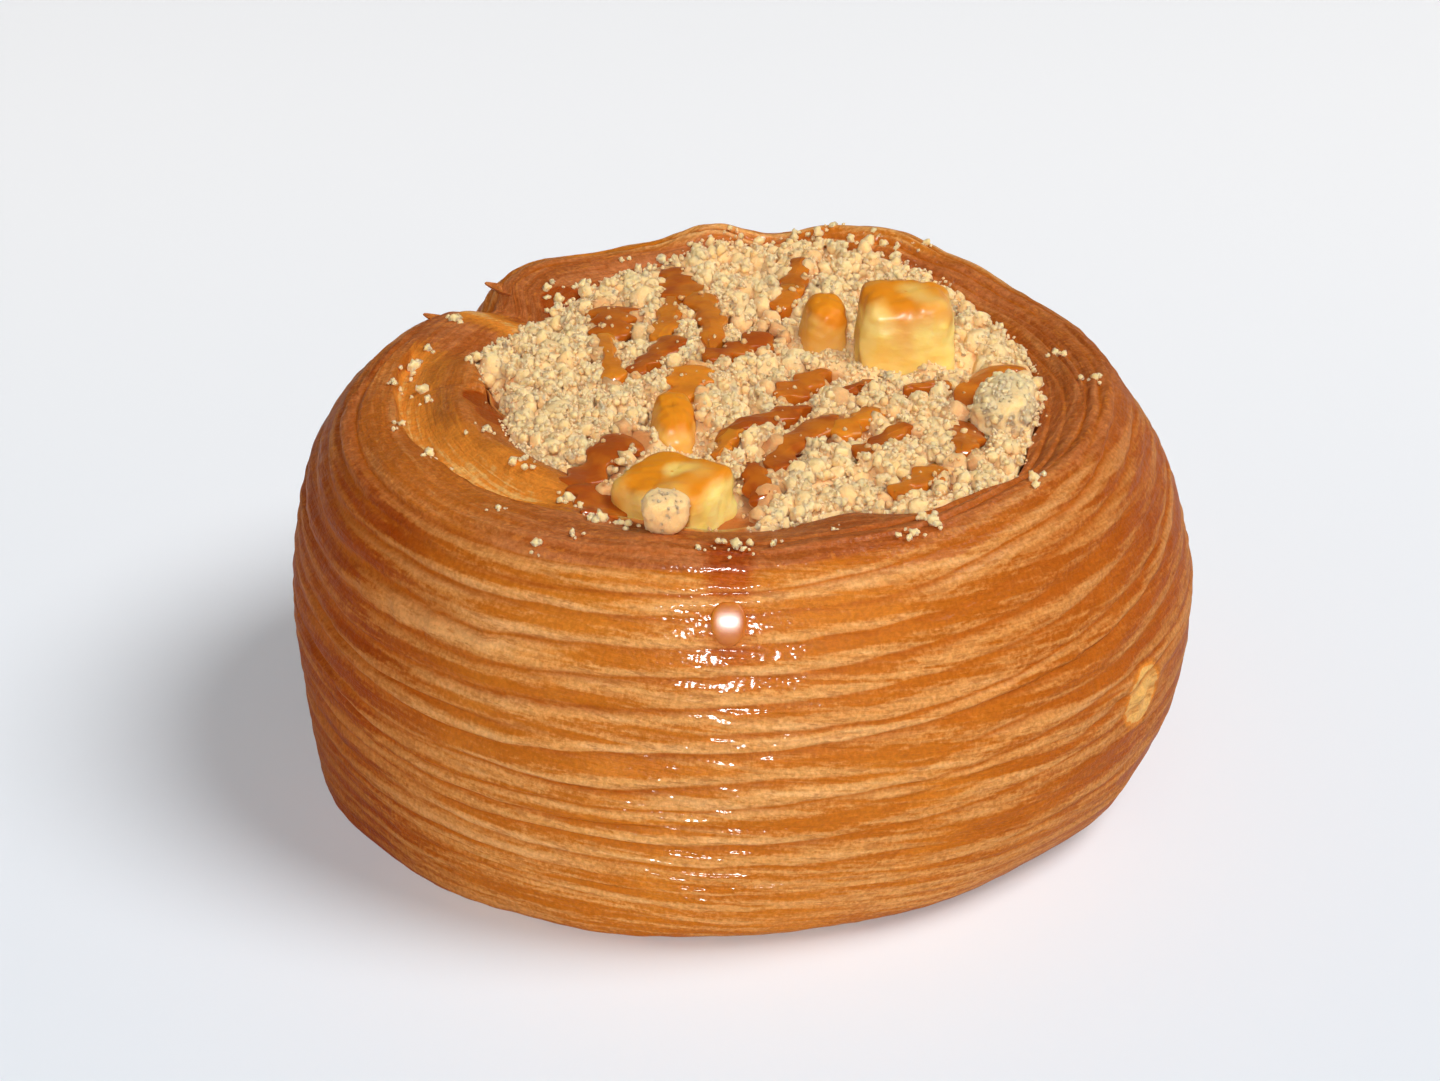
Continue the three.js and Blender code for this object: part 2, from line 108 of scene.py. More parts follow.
# Caramel strokes on the crumble: width, depth of colour, then points as [x, y], in millimetres.
STROKES = [
    [5.6, 0.75, [-15.0, 18.5], [-14.6, 12.5]],
    [2.4, 0.15, [-15.5, 11], [-14.9, 5], [-14.2, 0.5]],
    [4.2, 0.8, [-8.5, 29], [-6.6, 22.5]],
    [2.8, 0.3, [-8.4, 21], [-8.6, 15], [-9.4, 11]],
    [3.0, 0.45, [-5.6, 22], [-3.6, 15], [-3.6, 7.5]],
    [3.2, 0.8, [-8.0, 8.6], [-11.6, 1.8]],
    [3.4, 0.85, [2.2, 10.6], [-3.4, 4.8]],
    [2.6, 0.6, [6.4, 29.8], [5.6, 24]],
    [2.6, 0.35, [5.4, 23], [4.6, 19.6]],
    [3.0, 0.7, [8.6, 1.6], [4.2, -4.2]],
    [2.4, 0.85, [6.2, -7.4], [1.2, -12.0], [-2.0, -15.0]],
    [2.2, 0.2, [-1.4, -14.8], [-2.4, -18.0]],
    [3.4, 0.75, [9.2, -11.0], [5.4, -16.0], [3.6, -21.8]],
    [2.8, 0.3, [13.6, -9.6], [10.6, -13.6]],
    [2.8, 0.8, [16.6, -13.6], [13.0, -17.8]],
    [1.4, 0.6, [21.6, -1.6], [18.6, -2.4]],
    [2.6, 0.55, [30.0, 2.0], [26.6, 1.6], [24.2, -4.8], [24.0, -7.6]],
    [2.8, 0.7, [24.0, -11.6], [23.2, -18.0]],
    [3.4, 0.35, [19.8, -22.6], [16.4, -26.4]],
    [1.8, 0.9, [13.4, -1.2], [11.6, -3.6]],
    [4.4, 1.0, [-17.6, -23.6], [-15.2, -19.0], [-12.8, -15.4]],
    [4.2, 1.0, [-16.8, -24.6], [-13.8, -29.4]],
    [2.6, 0.9, [1.0, -22.6], [1.6, -27.0]],
    [4.4, 0.05, [-5.8, 0.6], [-6.4, -4.4]],
]

# Toppings that have a node of their own: size, taper to the top, place and turn about X, Y and Z.
Topping = namedtuple("Topping", "size taper at turn")
DICE = {
    "apple_dice_front": Topping((11, 9, 9), 1, (-7, -26.6, 41.2), (2, -5, -38)),
    "apple_dice_back": Topping((11.4, 9.6, 10.5), 0.86, (18, 9.4, 45.2), (4, 0, 1)),
    "apple_dice_side": Topping((5.4, 7.5, 7.5), 0.8, (9, 13, 44.2), (6, 8, 8)),
    "apple_dice_middle": Topping((5.6, 12, 7), 0.75, (-7.6, -9.6, 41.9), (6, 0, 4)),
}
LUMPS = {
    "crumble_clump": Topping((6.4, 9.6, 5.6), 1, (28, -8.4, 44.2), (0, -8, -14)),
    "crumble_ball": Topping((4.6, 4.5, 4.0), 1, (-8, -34.9, 45.2), (18, 0, 0)),
}

# ---------------------------------------------------------------- fineness of the grids
DOUGH_COLUMNS = 464
LAYER_PHASES = [0, 0.04, 0.1, 0.2, 0.34, 0.48, 0.63, 0.79, 0.93]
RIM_ROWS = 44
HEAP_CELL = 0.25 * MM
NORMAL_STEP = 0.15 * MM


# ---------------------------------------------------------------- small mathematics
def mix(a, b, t):
    """a where t is 0, b where it is 1, and in proportion between."""
    return a + (b - a) * t


def smooth(t):
    """0 below 0, 1 above 1, and the smooth step 3t^2 - 2t^3 between."""
    c = np.clip(t, 0, 1)
    return c * c * (3 - 2 * c)


def turn(angle):
    """The same angle between -180 and 180."""
    return (angle + 180) % 360 - 180


def bump(x, width):
    """A bell: 1 at 0, and 1/e a width away."""
    return np.exp(-((x / width) ** 2))


def arc(angle, middle, width):
    """A bell round the ring: 1 at the middle angle, and 1/e a width away on either side."""
    return bump(turn(angle - middle), width)


def around(outline, angle):
    """An uneven outline's value at each angle: its knots are joined by smooth steps round the ring."""
    knots = np.array(outline, float)
    starts = np.append(knots[:, 0], knots[0, 0] + 360)
    values = np.append(knots[:, 1], knots[0, 1])
    a = turn(angle)
    k = np.clip(np.searchsorted(starts, a, side="right") - 1, 0, len(knots) - 1)
    return mix(values[k], values[k + 1], smooth((a - starts[k]) / (starts[k + 1] - starts[k])))


def waves(seed, angle, across=0.0, most_turns=9, slope=0.0, count=9):
    """Smooth unevenness of about -1 to 1: a sum of sine waves, each with a whole number of turns
    round the ring and a random slope across it, so that it closes on itself."""
    rng = np.random.default_rng(seed)
    turns = rng.integers(1, most_turns + 1, count)
    slopes = rng.normal(0, 1, count) * slope
    phases = rng.uniform(0, 2 * np.pi, count)
    parts = [np.sin(n * np.radians(angle) + m * across + p) for n, m, p in zip(turns, slopes, phases)]
    return sum(parts) / np.sqrt(2 * count)


def polar(angle, radius, height):
    """Points at an angle, a radius and a height."""
    a = np.radians(angle)
    return np.stack([radius * np.cos(a), radius * np.sin(a), height + 0 * a], axis=-1)


# ---------------------------------------------------------------- the dough's surface
def crest_height(angle):
    """Height of the top of the rim: its outline's knots, joined by smooth steps."""
    return around(CREST_HEIGHT, angle) * MM


def filling_radius(angle):
    """Radius of the rim's inner edge, where the crumble starts: its outline's knots, joined likewise."""
    return around(FILLING_RADIUS, angle) * MM


def pinch(angle):
    """A bell at the notch in the back left of the rim."""
    return arc(angle, PINCH_ANGLE, PINCH_WIDTH)


def crest_radius(angle):
    """Radius of the crest: a circle, moved to the front by a sine and drawn in by the notch's bell."""
    return CREST_RADIUS - CREST_SHIFT * np.sin(np.radians(angle)) - PINCH_DEPTH * pinch(angle)


def rim_edge_height(angle):
    """Height of the rim's inner edge: about a third of the way from the crest's height to one level for
    the whole ring, less a sag that a bell makes smaller at the back."""
    sag = mix(RIM_SAG, BACK_SAG, arc(angle, 82, 42))
    return mix(crest_height(angle), RIM_LEVEL, 0.35) - sag


def crescent(angle):
    """How far the left of the rim is a crescent with a thin outer lip, a cut face and a fold: a smooth
    step up times a smooth step down, by angle."""
    a = turn(angle - 180)
    return smooth((a + 22) / 10) * smooth((62 - a) / 16)


def lip_radius(angle):
    """Radius of the inner edge of the crescent's thin lip: it shrinks evenly with the angle."""
    return (38.9 - 0.05 * turn(angle - 172)) * MM


def fold_radius(angle):
    """Radius of the middle of the crescent's fold: a smooth step in from the left to the left front, and
    as far in at the back left."""
    return mix(31.2, 30.2, smooth((turn(angle) + 180) / 60)) * MM


def rim_height(angle, radius):
    """Height of the rim from its crest to the filling: it sags as the square of the way across, and
    on the crescent it drops behind the lip and rises in a bell-shaped fold."""
    crest = crest_radius(angle)
    across = (crest - radius) / (crest - filling_radius(angle))
    plain = mix(crest_height(angle), rim_edge_height(angle), np.clip(across, 0, 1) ** 2)
    inside = lip_radius(angle) - radius
    drop = CRESCENT_DROP * smooth(inside / LIP_WIDTH) * (1 - smooth(inside / CUT_WIDTH))
    fold = FOLD_RISE * bump(radius - fold_radius(angle), FOLD_WIDTH)
    return plain + crescent(angle) * (fold - drop)


def quarter(count, power):
    """A quarter of a superellipse as cos^(2/p) and sin^(2/p) of an even run of angles."""
    t = np.linspace(0, np.pi / 2, count)[None, :]
    return np.clip(np.cos(t), 0, 1) ** (2 / power[:, None]), np.sin(t) ** (2 / power[:, None])


Meridians = namedtuple("Meridians", "radius height length crest")
QUARTER_POINTS = 60


@functools.lru_cache(maxsize=None)
def meridians():
    """Radius, height and running length along every meridian, one row for each column of the dough.
    The wall is two quarters of superellipses that meet at the belly; the rim follows rim_height."""
    angle = dough_angles()
    c = np.cos(np.radians(angle))
    foot = BASE_RADIUS - BASE_SHIFT * c + FOOT_BULGE * arc(angle, -104, 24)
    belly = BELLY_HEIGHT + BELLY_LEAN * c
    low, out = quarter(QUARTER_POINTS, 1.93 + 0.72 * c)
    wide, up = quarter(QUARTER_POINTS, 1.71 - 0.4 * c - 0.5 * pinch(angle))
    crest = crest_radius(angle)
    lower_r = foot[:, None] + (BELLY_RADIUS - foot)[:, None] * out
    lower_z = belly[:, None] * (1 - low)
    upper_r = crest[:, None] + (BELLY_RADIUS - crest)[:, None] * wide
    upper_z = belly[:, None] + (crest_height(angle) - belly)[:, None] * up
    across = np.linspace(0, 1, QUARTER_POINTS)[None, :]
    rim_r = mix(crest[:, None], filling_radius(angle)[:, None], across)
    rim_z = rim_height(angle[:, None] + 0 * rim_r, rim_r)
    radius = np.hstack([lower_r, upper_r[:, 1:], rim_r[:, 1:]])
    height = np.hstack([lower_z, upper_z[:, 1:], rim_z[:, 1:]])
    steps = np.hypot(np.diff(radius, axis=1), np.diff(height, axis=1))
    length = np.hstack([0 * radius[:, :1], np.cumsum(steps, axis=1)])
    return Meridians(radius, height, length, length[:, 2 * QUARTER_POINTS - 2])


def dough_angles():
    """The angles of the dough's columns, in even steps."""
    return np.arange(DOUGH_COLUMNS) * 360 / DOUGH_COLUMNS


def on_meridians(length, out):
    """Radius and height at a length up each meridian, moved out along its normal, which is its slope
    over a short step turned by a quarter. length and out have a row for each ring and a column for
    each meridian."""
    lines, step = meridians(), NORMAL_STEP
    found = []
    for j in range(DOUGH_COLUMNS):
        s, r, z = lines.length[j], lines.radius[j], lines.height[j]
        near = np.clip(length[:, j], 0, s[-1])
        dr = np.interp(near + step, s, r) - np.interp(near - step, s, r)
        dz = np.interp(near + step, s, z) - np.interp(near - step, s, z)
        run = np.hypot(dr, dz) + 1e-12
        moved_r = np.interp(near, s, r) + out[:, j] * dz / run
        moved_z = np.interp(near, s, z) - out[:, j] * dr / run
        found.append([moved_r, moved_z])
    both = np.array(found)
    return both[:, 0].T, both[:, 1].T


def layer_length(angle, share):
    """Length up the meridian of a layer that is share of the way from base to crest: that share of its
    length, plus a sine that tilts the rings towards the right back, and a small one for their waver."""
    climb = RING_TILT * np.sin(np.radians(angle + 90 - HIGH_SIDE))
    wave = 0.35 * MM * np.sin(np.radians(3 * angle) + 9 * share) * np.sin(np.pi * share)
    return meridians().crest * share + climb * np.sin(np.pi * 0.8 * share) + wave


def layer_edge(angle, layer, share):
    """The layer's lower edge: layer_length plus waves of the layer's own, slow and quick, so that layers
    thin and thicken round the ring. Smooth steps end them at the base and the crest."""
    waver = 0.36 * per_layer(210, layer, angle[:1], 12) + 0.1 * per_layer(240, layer, angle[:1], 45)
    return layer_length(angle, share) + waver * MM * smooth(share / 0.06) * smooth((1 - share) / 0.06)


def layer_depth(angle, layer, share, depth):
    """Depth of the groove under each layer: a smooth step up from the foot, times bells that make it
    flatter at the front, deeper at the left and weak in the smooth crest at the left front, times
    waves that let it swell and fade round the ring."""
    fade = 1 - 0.6 * arc(angle, -140, 45) * smooth((share - 0.86) / 0.14)
    fade = fade * (1 - 0.42 * arc(angle, -72, 42) + 0.7 * arc(angle, -165, 50))
    swell = per_layer(40, layer, angle[:1], 7)
    return depth * mix(0.12, 1, smooth((share - 0.06) / 0.6)) * fade * np.clip(1 + 0.75 * swell, 0.15, 1.7)


# ---------------------------------------------------------------- meshes
def ring_faces(rows, columns, start=0):
    """Quads between the rings of a closed tube whose points are listed ring by ring, each turning
    anticlockwise seen from above, from the lowest ring to the highest."""
    i, j = np.meshgrid(np.arange(rows - 1), np.arange(columns), indexing="ij")
    after = (j + 1) % columns
    corners = [i * columns + j, i * columns + after, (i + 1) * columns + after, (i + 1) * columns + j]
    return start + np.stack(corners, axis=-1).reshape(-1, 4)


def cap_faces(pole, ring, columns, upwards):
    """Triangles from a pole to the ring that starts at point number ring."""
    j = np.arange(columns)
    after = (j + 1) % columns
    pair = (ring + j, ring + after) if upwards else (ring + after, ring + j)
    return np.stack([pair[0], pair[1], 0 * j + pole], axis=-1)


def closed_form(rings, bottom, top):
    """Points and faces of rings, given as rows by columns by 3, closed by two poles."""
    rows, columns = rings.shape[:2]
    points = np.vstack([rings.reshape(-1, 3), bottom, top])
    count = rows * columns
    faces = [
        ring_faces(rows, columns),
        cap_faces(count, 0, columns, upwards=False),
        cap_faces(count + 1, count - columns, columns, upwards=True),
    ]
    return points, faces


def new_piece(name, points, faces, material, fields=None, replaces=()):
    """A smooth-shaded mesh object at the origin that rides on the pastry. faces is a list of arrays,
    each of one number of corners; fields are values at its points for the material to read."""
    mesh = bpy.data.meshes.new(name)
    mesh.vertices.add(len(points))
    mesh.vertices.foreach_set("co", np.ascontiguousarray(points, np.float32).ravel())
    corners = np.concatenate([part.ravel() for part in faces]).astype(np.int32)
    counts = np.concatenate([np.full(len(part), part.shape[1]) for part in faces])
    mesh.loops.add(len(corners))
    mesh.loops.foreach_set("vertex_index", corners)
    mesh.polygons.add(len(counts))
    mesh.polygons.foreach_set("loop_start", np.append(0, np.cumsum(counts)[:-1]).astype(np.int32))
    mesh.polygons.foreach_set("use_smooth", np.ones(len(counts), bool))
    mesh.update(calc_edges=True)
    for key, values in (fields or {}).items():
        kind, target = ("FLOAT_VECTOR", "vector") if values.ndim == 2 else ("FLOAT", "value")
        layer = mesh.attributes.new(key, kind, "POINT")
        layer.data.foreach_set(target, np.ascontiguousarray(values, np.float32).ravel())
    mesh.materials.append(material)
    piece = bpy.data.objects.new(name, mesh)
    bpy.context.scene.collection.objects.link(piece)
    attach(piece, "root")
    if replaces:
        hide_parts(*replaces)
    return piece


def turned(points, angles):
    """Points turned about X, then Y, then Z of the turned frame, as an XYZ Euler of three.js."""
    x, y, z = np.radians(angles)
    about_x = np.array([[1, 0, 0], [0, np.cos(x), -np.sin(x)], [0, np.sin(x), np.cos(x)]])
    about_y = np.array([[np.cos(y), 0, np.sin(y)], [0, 1, 0], [-np.sin(y), 0, np.cos(y)]])
    about_z = np.array([[np.cos(z), -np.sin(z), 0], [np.sin(z), np.cos(z), 0], [0, 0, 1]])
    return points @ (about_x @ about_y @ about_z).T


# ---------------------------------------------------------------- the dough's grid
Spot = namedtuple("Spot", "x y reach")
# Caramel that has run onto the dough and into the filling, as x, y and reach in millimetres.
SYRUP_SPOTS = [
    Spot(-28.4, -2.6, 2.2), Spot(-27.3, -6.5, 1.6), Spot(-16.0, -19.5, 3.4), Spot(-13.6, -16.0, 2.6),
    Spot(-15.2, -23.6, 2.6), Spot(1.2, -24.2, 2.0), Spot(1.8, -27.8, 1.8), Spot(-26.6, 12.6, 2.2),
    Spot(-20.6, 23.2, 2.6), Spot(-10.0, -31.0, 3.2), Spot(-4.0, -31.5, 3.0),
]


def near_spots(spots, x, y):
    """1 in the middle of a spot, with a smooth step to 0 past its reach; the largest of them all."""
    values = [1 - smooth((np.hypot(x - s.x * MM, y - s.y * MM) / (s.reach * MM) - 0.7) / 0.6) for s in spots]
    return np.max(values, axis=0)


def oval(angle, height, at_angle, at_height, wide, tall):
    """A soft oval mark on the wall: a bell of the angle times a bell of the height."""
    return np.exp(-((turn(angle - at_angle) / wide) ** 2) - ((height - at_height) / tall) ** 2)


def layer_profile(phase, below, above, lip_width=0.12):
    """How far a layer stands out, from groove to groove: a step out to its lip, a slow fall back over
    its band, and a last turn in to the groove above it."""
    lip = (smooth(phase / lip_width) - 0.5) * (1 - smooth((phase - lip_width - 0.02) / 0.6))
    tuck = 0.55 * smooth((phase - 0.58) / 0.42)
    return below * lip - above * tuck


def per_layer(seed, layer, angle, most_turns):
    """Slow unevenness round the ring: waves with a seed of its own for each layer."""
    lines = {k: waves(seed + int(k), angle[0], most_turns=most_turns) for k in np.unique(layer)}
    return np.stack([lines[k] for k in layer[:, 0]])


def wall_grid(settings):
    """The wall's rings: length up the meridian, offset from it, and fields for the material. The offset
    is the layer's profile less the splits, and sums of waves for fibres, grit and slow swelling."""
    angle = dough_angles()[None, :]
    shares = np.append(0, np.cumsum(LAYER_STEPS)) / sum(LAYER_STEPS)
    count = len(LAYER_STEPS)
    layer = np.append(np.repeat(np.arange(count), len(LAYER_PHASES)), count - 1)[:, None]
    phase = np.append(np.tile(LAYER_PHASES, count), 1.0)[:, None] + 0 * angle
    wide = angle + 0 * phase
    edges = [layer_edge(wide, layer + k, shares[layer + k]) for k in (0, 1)]
    depths = [layer_depth(wide, layer + k, shares[layer + k], settings.ridge_depth) for k in (0, 1)]
    depths[0] = depths[0] * (layer > 0)
    length, share = mix(*edges, phase), mix(shares[layer], shares[layer + 1], phase)
    split = smooth(per_layer(140, layer, angle, 5) * 2)
    fibres = wall_fibres(wide, length, share)
    lip_width = 0.32 + 0.12 * np.clip(1.6 * per_layer(180, layer, angle, 8), -1, 1)
    out = layer_profile(phase, *depths, lip_width)
    out = out - SPLIT_DEPTH * split * bump(phase - SPLIT_PHASE - 0.1 * per_layer(160, layer, angle, 4), 0.07)
    out = out + FIBRE_HEIGHT * fibres
    out = out + GRIT_HEIGHT * waves(7, wide, length / MM, most_turns=90, slope=1.6, count=36)
    out = out + SWELL_HEIGHT * waves(8, wide, length / MM, most_turns=16, slope=0.2, count=12)
    strength, next_strength = (np.clip(depth / (RIDGE_DEPTH * 0.8), 0, 1.2) for depth in depths)
    up = smooth(share / 0.55)
    # Painted shade in the groove under each layer's lip and in the one above its band.
    groove = bump(phase, 0.1) * strength + bump(1 - phase, 0.18) * next_strength
    band = band_edge(phase, layer, angle) * np.clip(strength + 0.35, 0, 1) * mix(0.4, 1, up)
    return {
        "length": length,
        "out": out,
        "band": band + 0.2 * fibres + mix(0.24, 0.1, up),
        # groove: painted shade in the grooves and in the splits between layers, weaker near the foot.
        "groove": mix(0.3, 1, up) * (groove + 0.6 * split * bump(phase - SPLIT_PHASE, 0.07)),
        "toast": crest_toast(wide, share),
        "brown": side_brown(wide, share),
        # side: painted shade at the left and right of the wall, where less light reaches it.
        "side": sides(wide),
    }


SPLIT_DEPTH = 0.2 * MM
SPLIT_PHASE = 0.42
FIBRE_HEIGHT = 0.07 * MM
GRIT_HEIGHT = 0.05 * MM
SWELL_HEIGHT = 0.22 * MM


def wall_fibres(angle, length, share):
    """Fine ridges along the rings, as a sine of the length up the wall with a wavering phase. They
    come and go round the ring and are weaker near the foot."""
    run = length / MM
    fibres = np.sin(2 * np.pi * length / FIBRE_PITCH + 3 * waves(5, angle, run, most_turns=9, slope=0.12))
    fibres = fibres * np.clip(0.5 + waves(6, angle, run, most_turns=22, slope=0.5, count=16), 0, 1.2)
    return fibres * mix(0.4, 1, smooth(share / 0.5))


FIBRE_PITCH = 1.15 * MM


def band_edge(phase, layer, angle):
    """1 on the pale band of each layer. It starts at the layer's lip and ends at its reach, or, where a
    slow wave says so, hangs from the layer's top instead."""
    reach = np.array(BAND_REACH)[layer] + 0.2 * per_layer(90, layer, angle, 6)
    both = (phase, 1 - phase)
    from_lip, from_top = (smooth(t / 0.1) * (1 - smooth((t - reach + 0.15) / 0.3)) for t in both)
    return mix(from_lip, from_top, smooth(1.6 * per_layer(310, layer, angle, 6)))


def sides(angle):
    """How much painted shade darkens the wall where less light reaches its sides: the largest of two
    bells at the left side and a weaker one at the right. It is about 0 at the front and the back."""
    left = np.maximum(1.3 * arc(angle, -158, 30), 0.9 * arc(angle, 172, 34))
    return np.maximum(left, 0.85 * arc(angle, -12, 52))


def side_brown(angle, share):
    """How much browner the wall is at its sides: a bell at the left and a weaker one at the right, each
    of which grows up the wall."""
    left, right = arc(angle, 178, 34), arc(angle, 0, 40)
    return np.clip(left * mix(0.5, 1.1, share) + right * mix(0.15, 0.9, share ** 2), 0, 1)


def crest_toast(angle, share):
    """The brown of the crest: a smooth step up the wall, whose start is drawn down by bells at the
    left, the right and the back left, and made uneven by waves."""
    start = 0.995 - 0.04 * arc(angle, -165, 36) - 0.15 * arc(angle, 5, 46) - 0.06 * arc(angle, 120, 60)
    start = start + 0.03 * waves(33, angle, most_turns=12)
    return smooth((share - start) / 0.07)


def rim_grid(settings, start):
    """The rim's rings, from the crest to the filling. Fine ridges run along it; they are deepest at the
    right and the back right, reach less far in at the front, and leave the crescent smooth."""
    angle = dough_angles()[None, :]
    share = np.linspace(0, 1, RIM_ROWS + 1)[1:, None] + 0 * angle
    wide = angle + 0 * share
    length = mix(start[None, :], meridians().length[:, -1][None, :], share)
    run = (length - start) / MM
    aside = turn(angle - RIDGED_MIDDLE)
    right = smooth((aside + RIDGED_REACH) / 40) * smooth((RIDGED_REACH - aside) / 45)
    front = arc(angle, -80, 45) * (1 - smooth((run - 3.4) / 2))
    depth = np.clip(1.1 * right + 0.9 * front, 0, 1.1)
    depth = depth * np.clip(1 + 0.5 * waves(61, wide, run, 7, 0.5), 0.2, 1.5)
    phase = (run / RIM_PITCH + 0.9 * waves(62, wide, run, 4, 0.08) - angle / 360) % 1
    fade = smooth(run / 1.2) * smooth((1 - share) / 0.15)
    out = layer_profile(phase, 1, 1) * depth * fade * settings.ridge_depth * 1.15
    out = out + RIM_SWELL * waves(9, wide, length / MM, most_turns=16, slope=0.3, count=14) * fade
    out = out + GRIT_HEIGHT * waves(10, wide, length / MM, most_turns=60, slope=1.6, count=24) * fade
    wrinkle = arc(angle, -140, 50) * (1 - smooth((run - 3) / 1.5)) * fade
    out = out + 0.14 * MM * wrinkle * np.sin(run * 4.4 + 3 * waves(63, wide, run, 6, 0.3))
    # Painted shade in the grooves between the rim's ridges.
    groove = (bump(phase, 0.1) + bump(1 - phase, 0.14)) * depth * fade
    return {
        "length": length,
        "out": out,
        "band": 0.35 * smooth(phase / 0.1) * (1 - smooth((phase - 0.35) / 0.3)) * depth,
        "groove": 0.8 * groove,
        "toast": 1 - 0.25 * right * arc(angle, 40, 50) * smooth(share * 2) - 0.44 * crescent(wide),
        "brown": 0 * wide,
        # side: a little painted shade at the sides of the rim.
        "side": 0.12 * sides(wide),
    }


# The ridged part of the rim, in degrees, and the millimetres from one of its ridges to the next.
RIDGED_MIDDLE = 28
RIDGED_REACH = 100
RIM_PITCH = 2.05
RIM_SWELL = 0.26 * MM


def smooth_areas(angle, height):
    """Places on the wall where a layer is wide, smooth and deep orange: the sum of three ovals."""
    right = oval(angle, height, -58, 35.8 * MM, 24, 1.5 * MM)
    left = oval(angle, height, -128, 30.2 * MM, 26, 1.3 * MM)
    low = oval(angle, height, -107, 18 * MM, 7, 3 * MM)
    return 0.9 * right + 0.9 * left + 0.6 * low


def crescent_face(angle, radius):
    """1 just behind the outer lip, and 0 on the brown fold: a smooth step up at the lip's inner edge
    times one down across the golden cut face, and less away from the left front."""
    behind = lip_radius(angle) - radius + 0.35 * MM * waves(71, angle, most_turns=40, count=18)
    wide = (6.2 + 2.4 * arc(angle, -138, 22)) * MM
    face = smooth(behind / (0.45 * MM)) * (1 - smooth((behind - LIP_WIDTH) / wide))
    return face * crescent(angle) * mix(0.74, 1, arc(angle, -138, 32))


def cut_faces(angle, radius, height, on_rim):
    """Where the layers lie open, as the largest of these: the crescent's face, a bell-shaped pale strip
    beside the notch, and a torn flap on the lobe behind it, which is a bell both ways."""
    strip = arc(angle, 145.5, 3.2) * smooth((radius - 29 * MM) / (2 * MM))
    flap = arc(angle, 118, 7) * bump(radius - 41 * MM, 1.8 * MM) * smooth((height - 38 * MM) / (2 * MM))
    cut = 0 * radius
    cut[on_rim] = np.maximum(crescent_face(angle[on_rim], radius[on_rim]), 0.9 * strip[on_rim])
    return np.maximum(cut, 0.95 * flap)


def caramel_marks(angle, radius, height, x, y):
    """Where caramel lies on the dough, as the largest of these: spots round the filling, a run down the
    front with smooth steps for edges, a halo of two bells round its drop, and an oval of thin gloss
    on the front of the crest."""
    spots = near_spots(SYRUP_SPOTS, x, y) * (height > 25 * MM)
    run = smooth((3.6 * MM - np.abs(x - DRIP_X)) / (2.4 * MM)) * smooth((-36 * MM - y) / (3 * MM))
    run = run * smooth((height - 38.6 * MM) / (2.5 * MM))
    halo = bump(x - DRIP_X - 0.2 * MM, 3.2 * MM) * bump(height - 36.6 * MM, 3.2 * MM) * (y < -36 * MM)
    gloss = oval(angle, height, *GLOSSY_CREST) * (radius > 32 * MM)
    return np.max([spots, 0.42 * np.maximum(run, 0.9 * halo), 0.16 * gloss], axis=0)


def with_foot_and_bowl(radius, height):
    """The rings of the wall and the rim, with two rings in the foot below them and the rings of the
    bowl's side above them."""
    edge, level = filling_radius(dough_angles()), rim_edge_height(dough_angles())
    foot = radius[:1]
    side_r = [(edge - BOWL_WALL * inward)[None] for inward, _ in BOWL_SIDE]
    side_z = [mix(level, BOWL_FLOOR, down)[None] for _, down in BOWL_SIDE]
    radius = np.vstack([foot * 0.5, foot * 0.93, radius, *side_r])
    return radius, np.vstack([0 * foot, 0 * foot, height, *side_z])


# Rings down the bowl's side, as shares of its thickness and its depth.
BOWL_SIDE = [(0.12, 0.3), (0.5, 0.75), (1, 1)]
# Marks as angle, height, and how far they reach both ways.
TORN_PATCH = (-32, 19 * MM, 4.6, 3.9 * MM)
ROUGH_BAND = (-133, 32.7 * MM, 17, 1.5 * MM)
GLOSSY_CREST = (-72, 43.6 * MM, 13, 1.7 * MM)
DRIP_X = -1.5 * MM

GRID_FIELDS = ("band", "groove", "toast", "brown", "side")
DOUGH_FIELDS = (*GRID_FIELDS, "cut", "syrup")


def make_dough(settings):
    """The whole dough as rings from the middle of the base, up the wall, over the rim, and down the
    bowl to its floor. The torn patch and the rough band stand out by bells with fine waves on them."""
    wall = wall_grid(settings)
    rim = rim_grid(settings, wall["length"][-1])
    grid = {key: np.vstack([wall[key], rim[key]]) for key in wall}
    radius, height = on_meridians(grid["length"], grid["out"])
    angle = dough_angles()[None, :] + 0 * radius
    torn, rough = oval(angle, height, *TORN_PATCH), oval(angle, height, *ROUGH_BAND)
    radius = radius + 0.4 * MM * torn * (0.6 + waves(72, angle, height / MM, 90, 1.5, 30))
    radius = radius + 0.3 * MM * rough * (0.5 + waves(73, angle, height / MM, 110, 1.5, 30))
    height = np.maximum(height, 0)
    grid["band"] = grid["band"] + (0.9 * rough - smooth_areas(angle, height))

    radius, height = with_foot_and_bowl(radius, height)
    angle = dough_angles()[None, :] + 0 * radius
    rings = polar(angle, radius, height)
    points, faces = closed_form(rings, [[0, 0, 0]], [[0, 0, BOWL_FLOOR]])
    part = slice(2, 2 + len(grid["out"]))
    fields = {key: np.zeros(radius.shape) for key in GRID_FIELDS}
    for key in GRID_FIELDS:
        fields[key][part] = grid[key]
    fields["toast"][part.stop:] = 1
    fields["cut"] = cut_faces(angle, radius, height, slice(2 + len(wall["out"]), part.stop))
    fields["cut"][part] = np.maximum(fields["cut"][part], 1.25 * smooth((torn - 0.3) / 0.3))
    fields["syrup"] = caramel_marks(angle, radius, height, rings[..., 0], rings[..., 1])
    values = {key: np.append(field.ravel(), [0, 0]) for key, field in fields.items()}
    bowl_run = grid["length"][-1:] + np.array([[2], [4], [6]]) * MM
    values["grain"] = ring_grain(angle, np.vstack([0 * radius[:2], grid["length"], bowl_run]) / MM)
    return new_piece("pastry_dough", points, faces, dough_material(settings), values, ["pastry"])


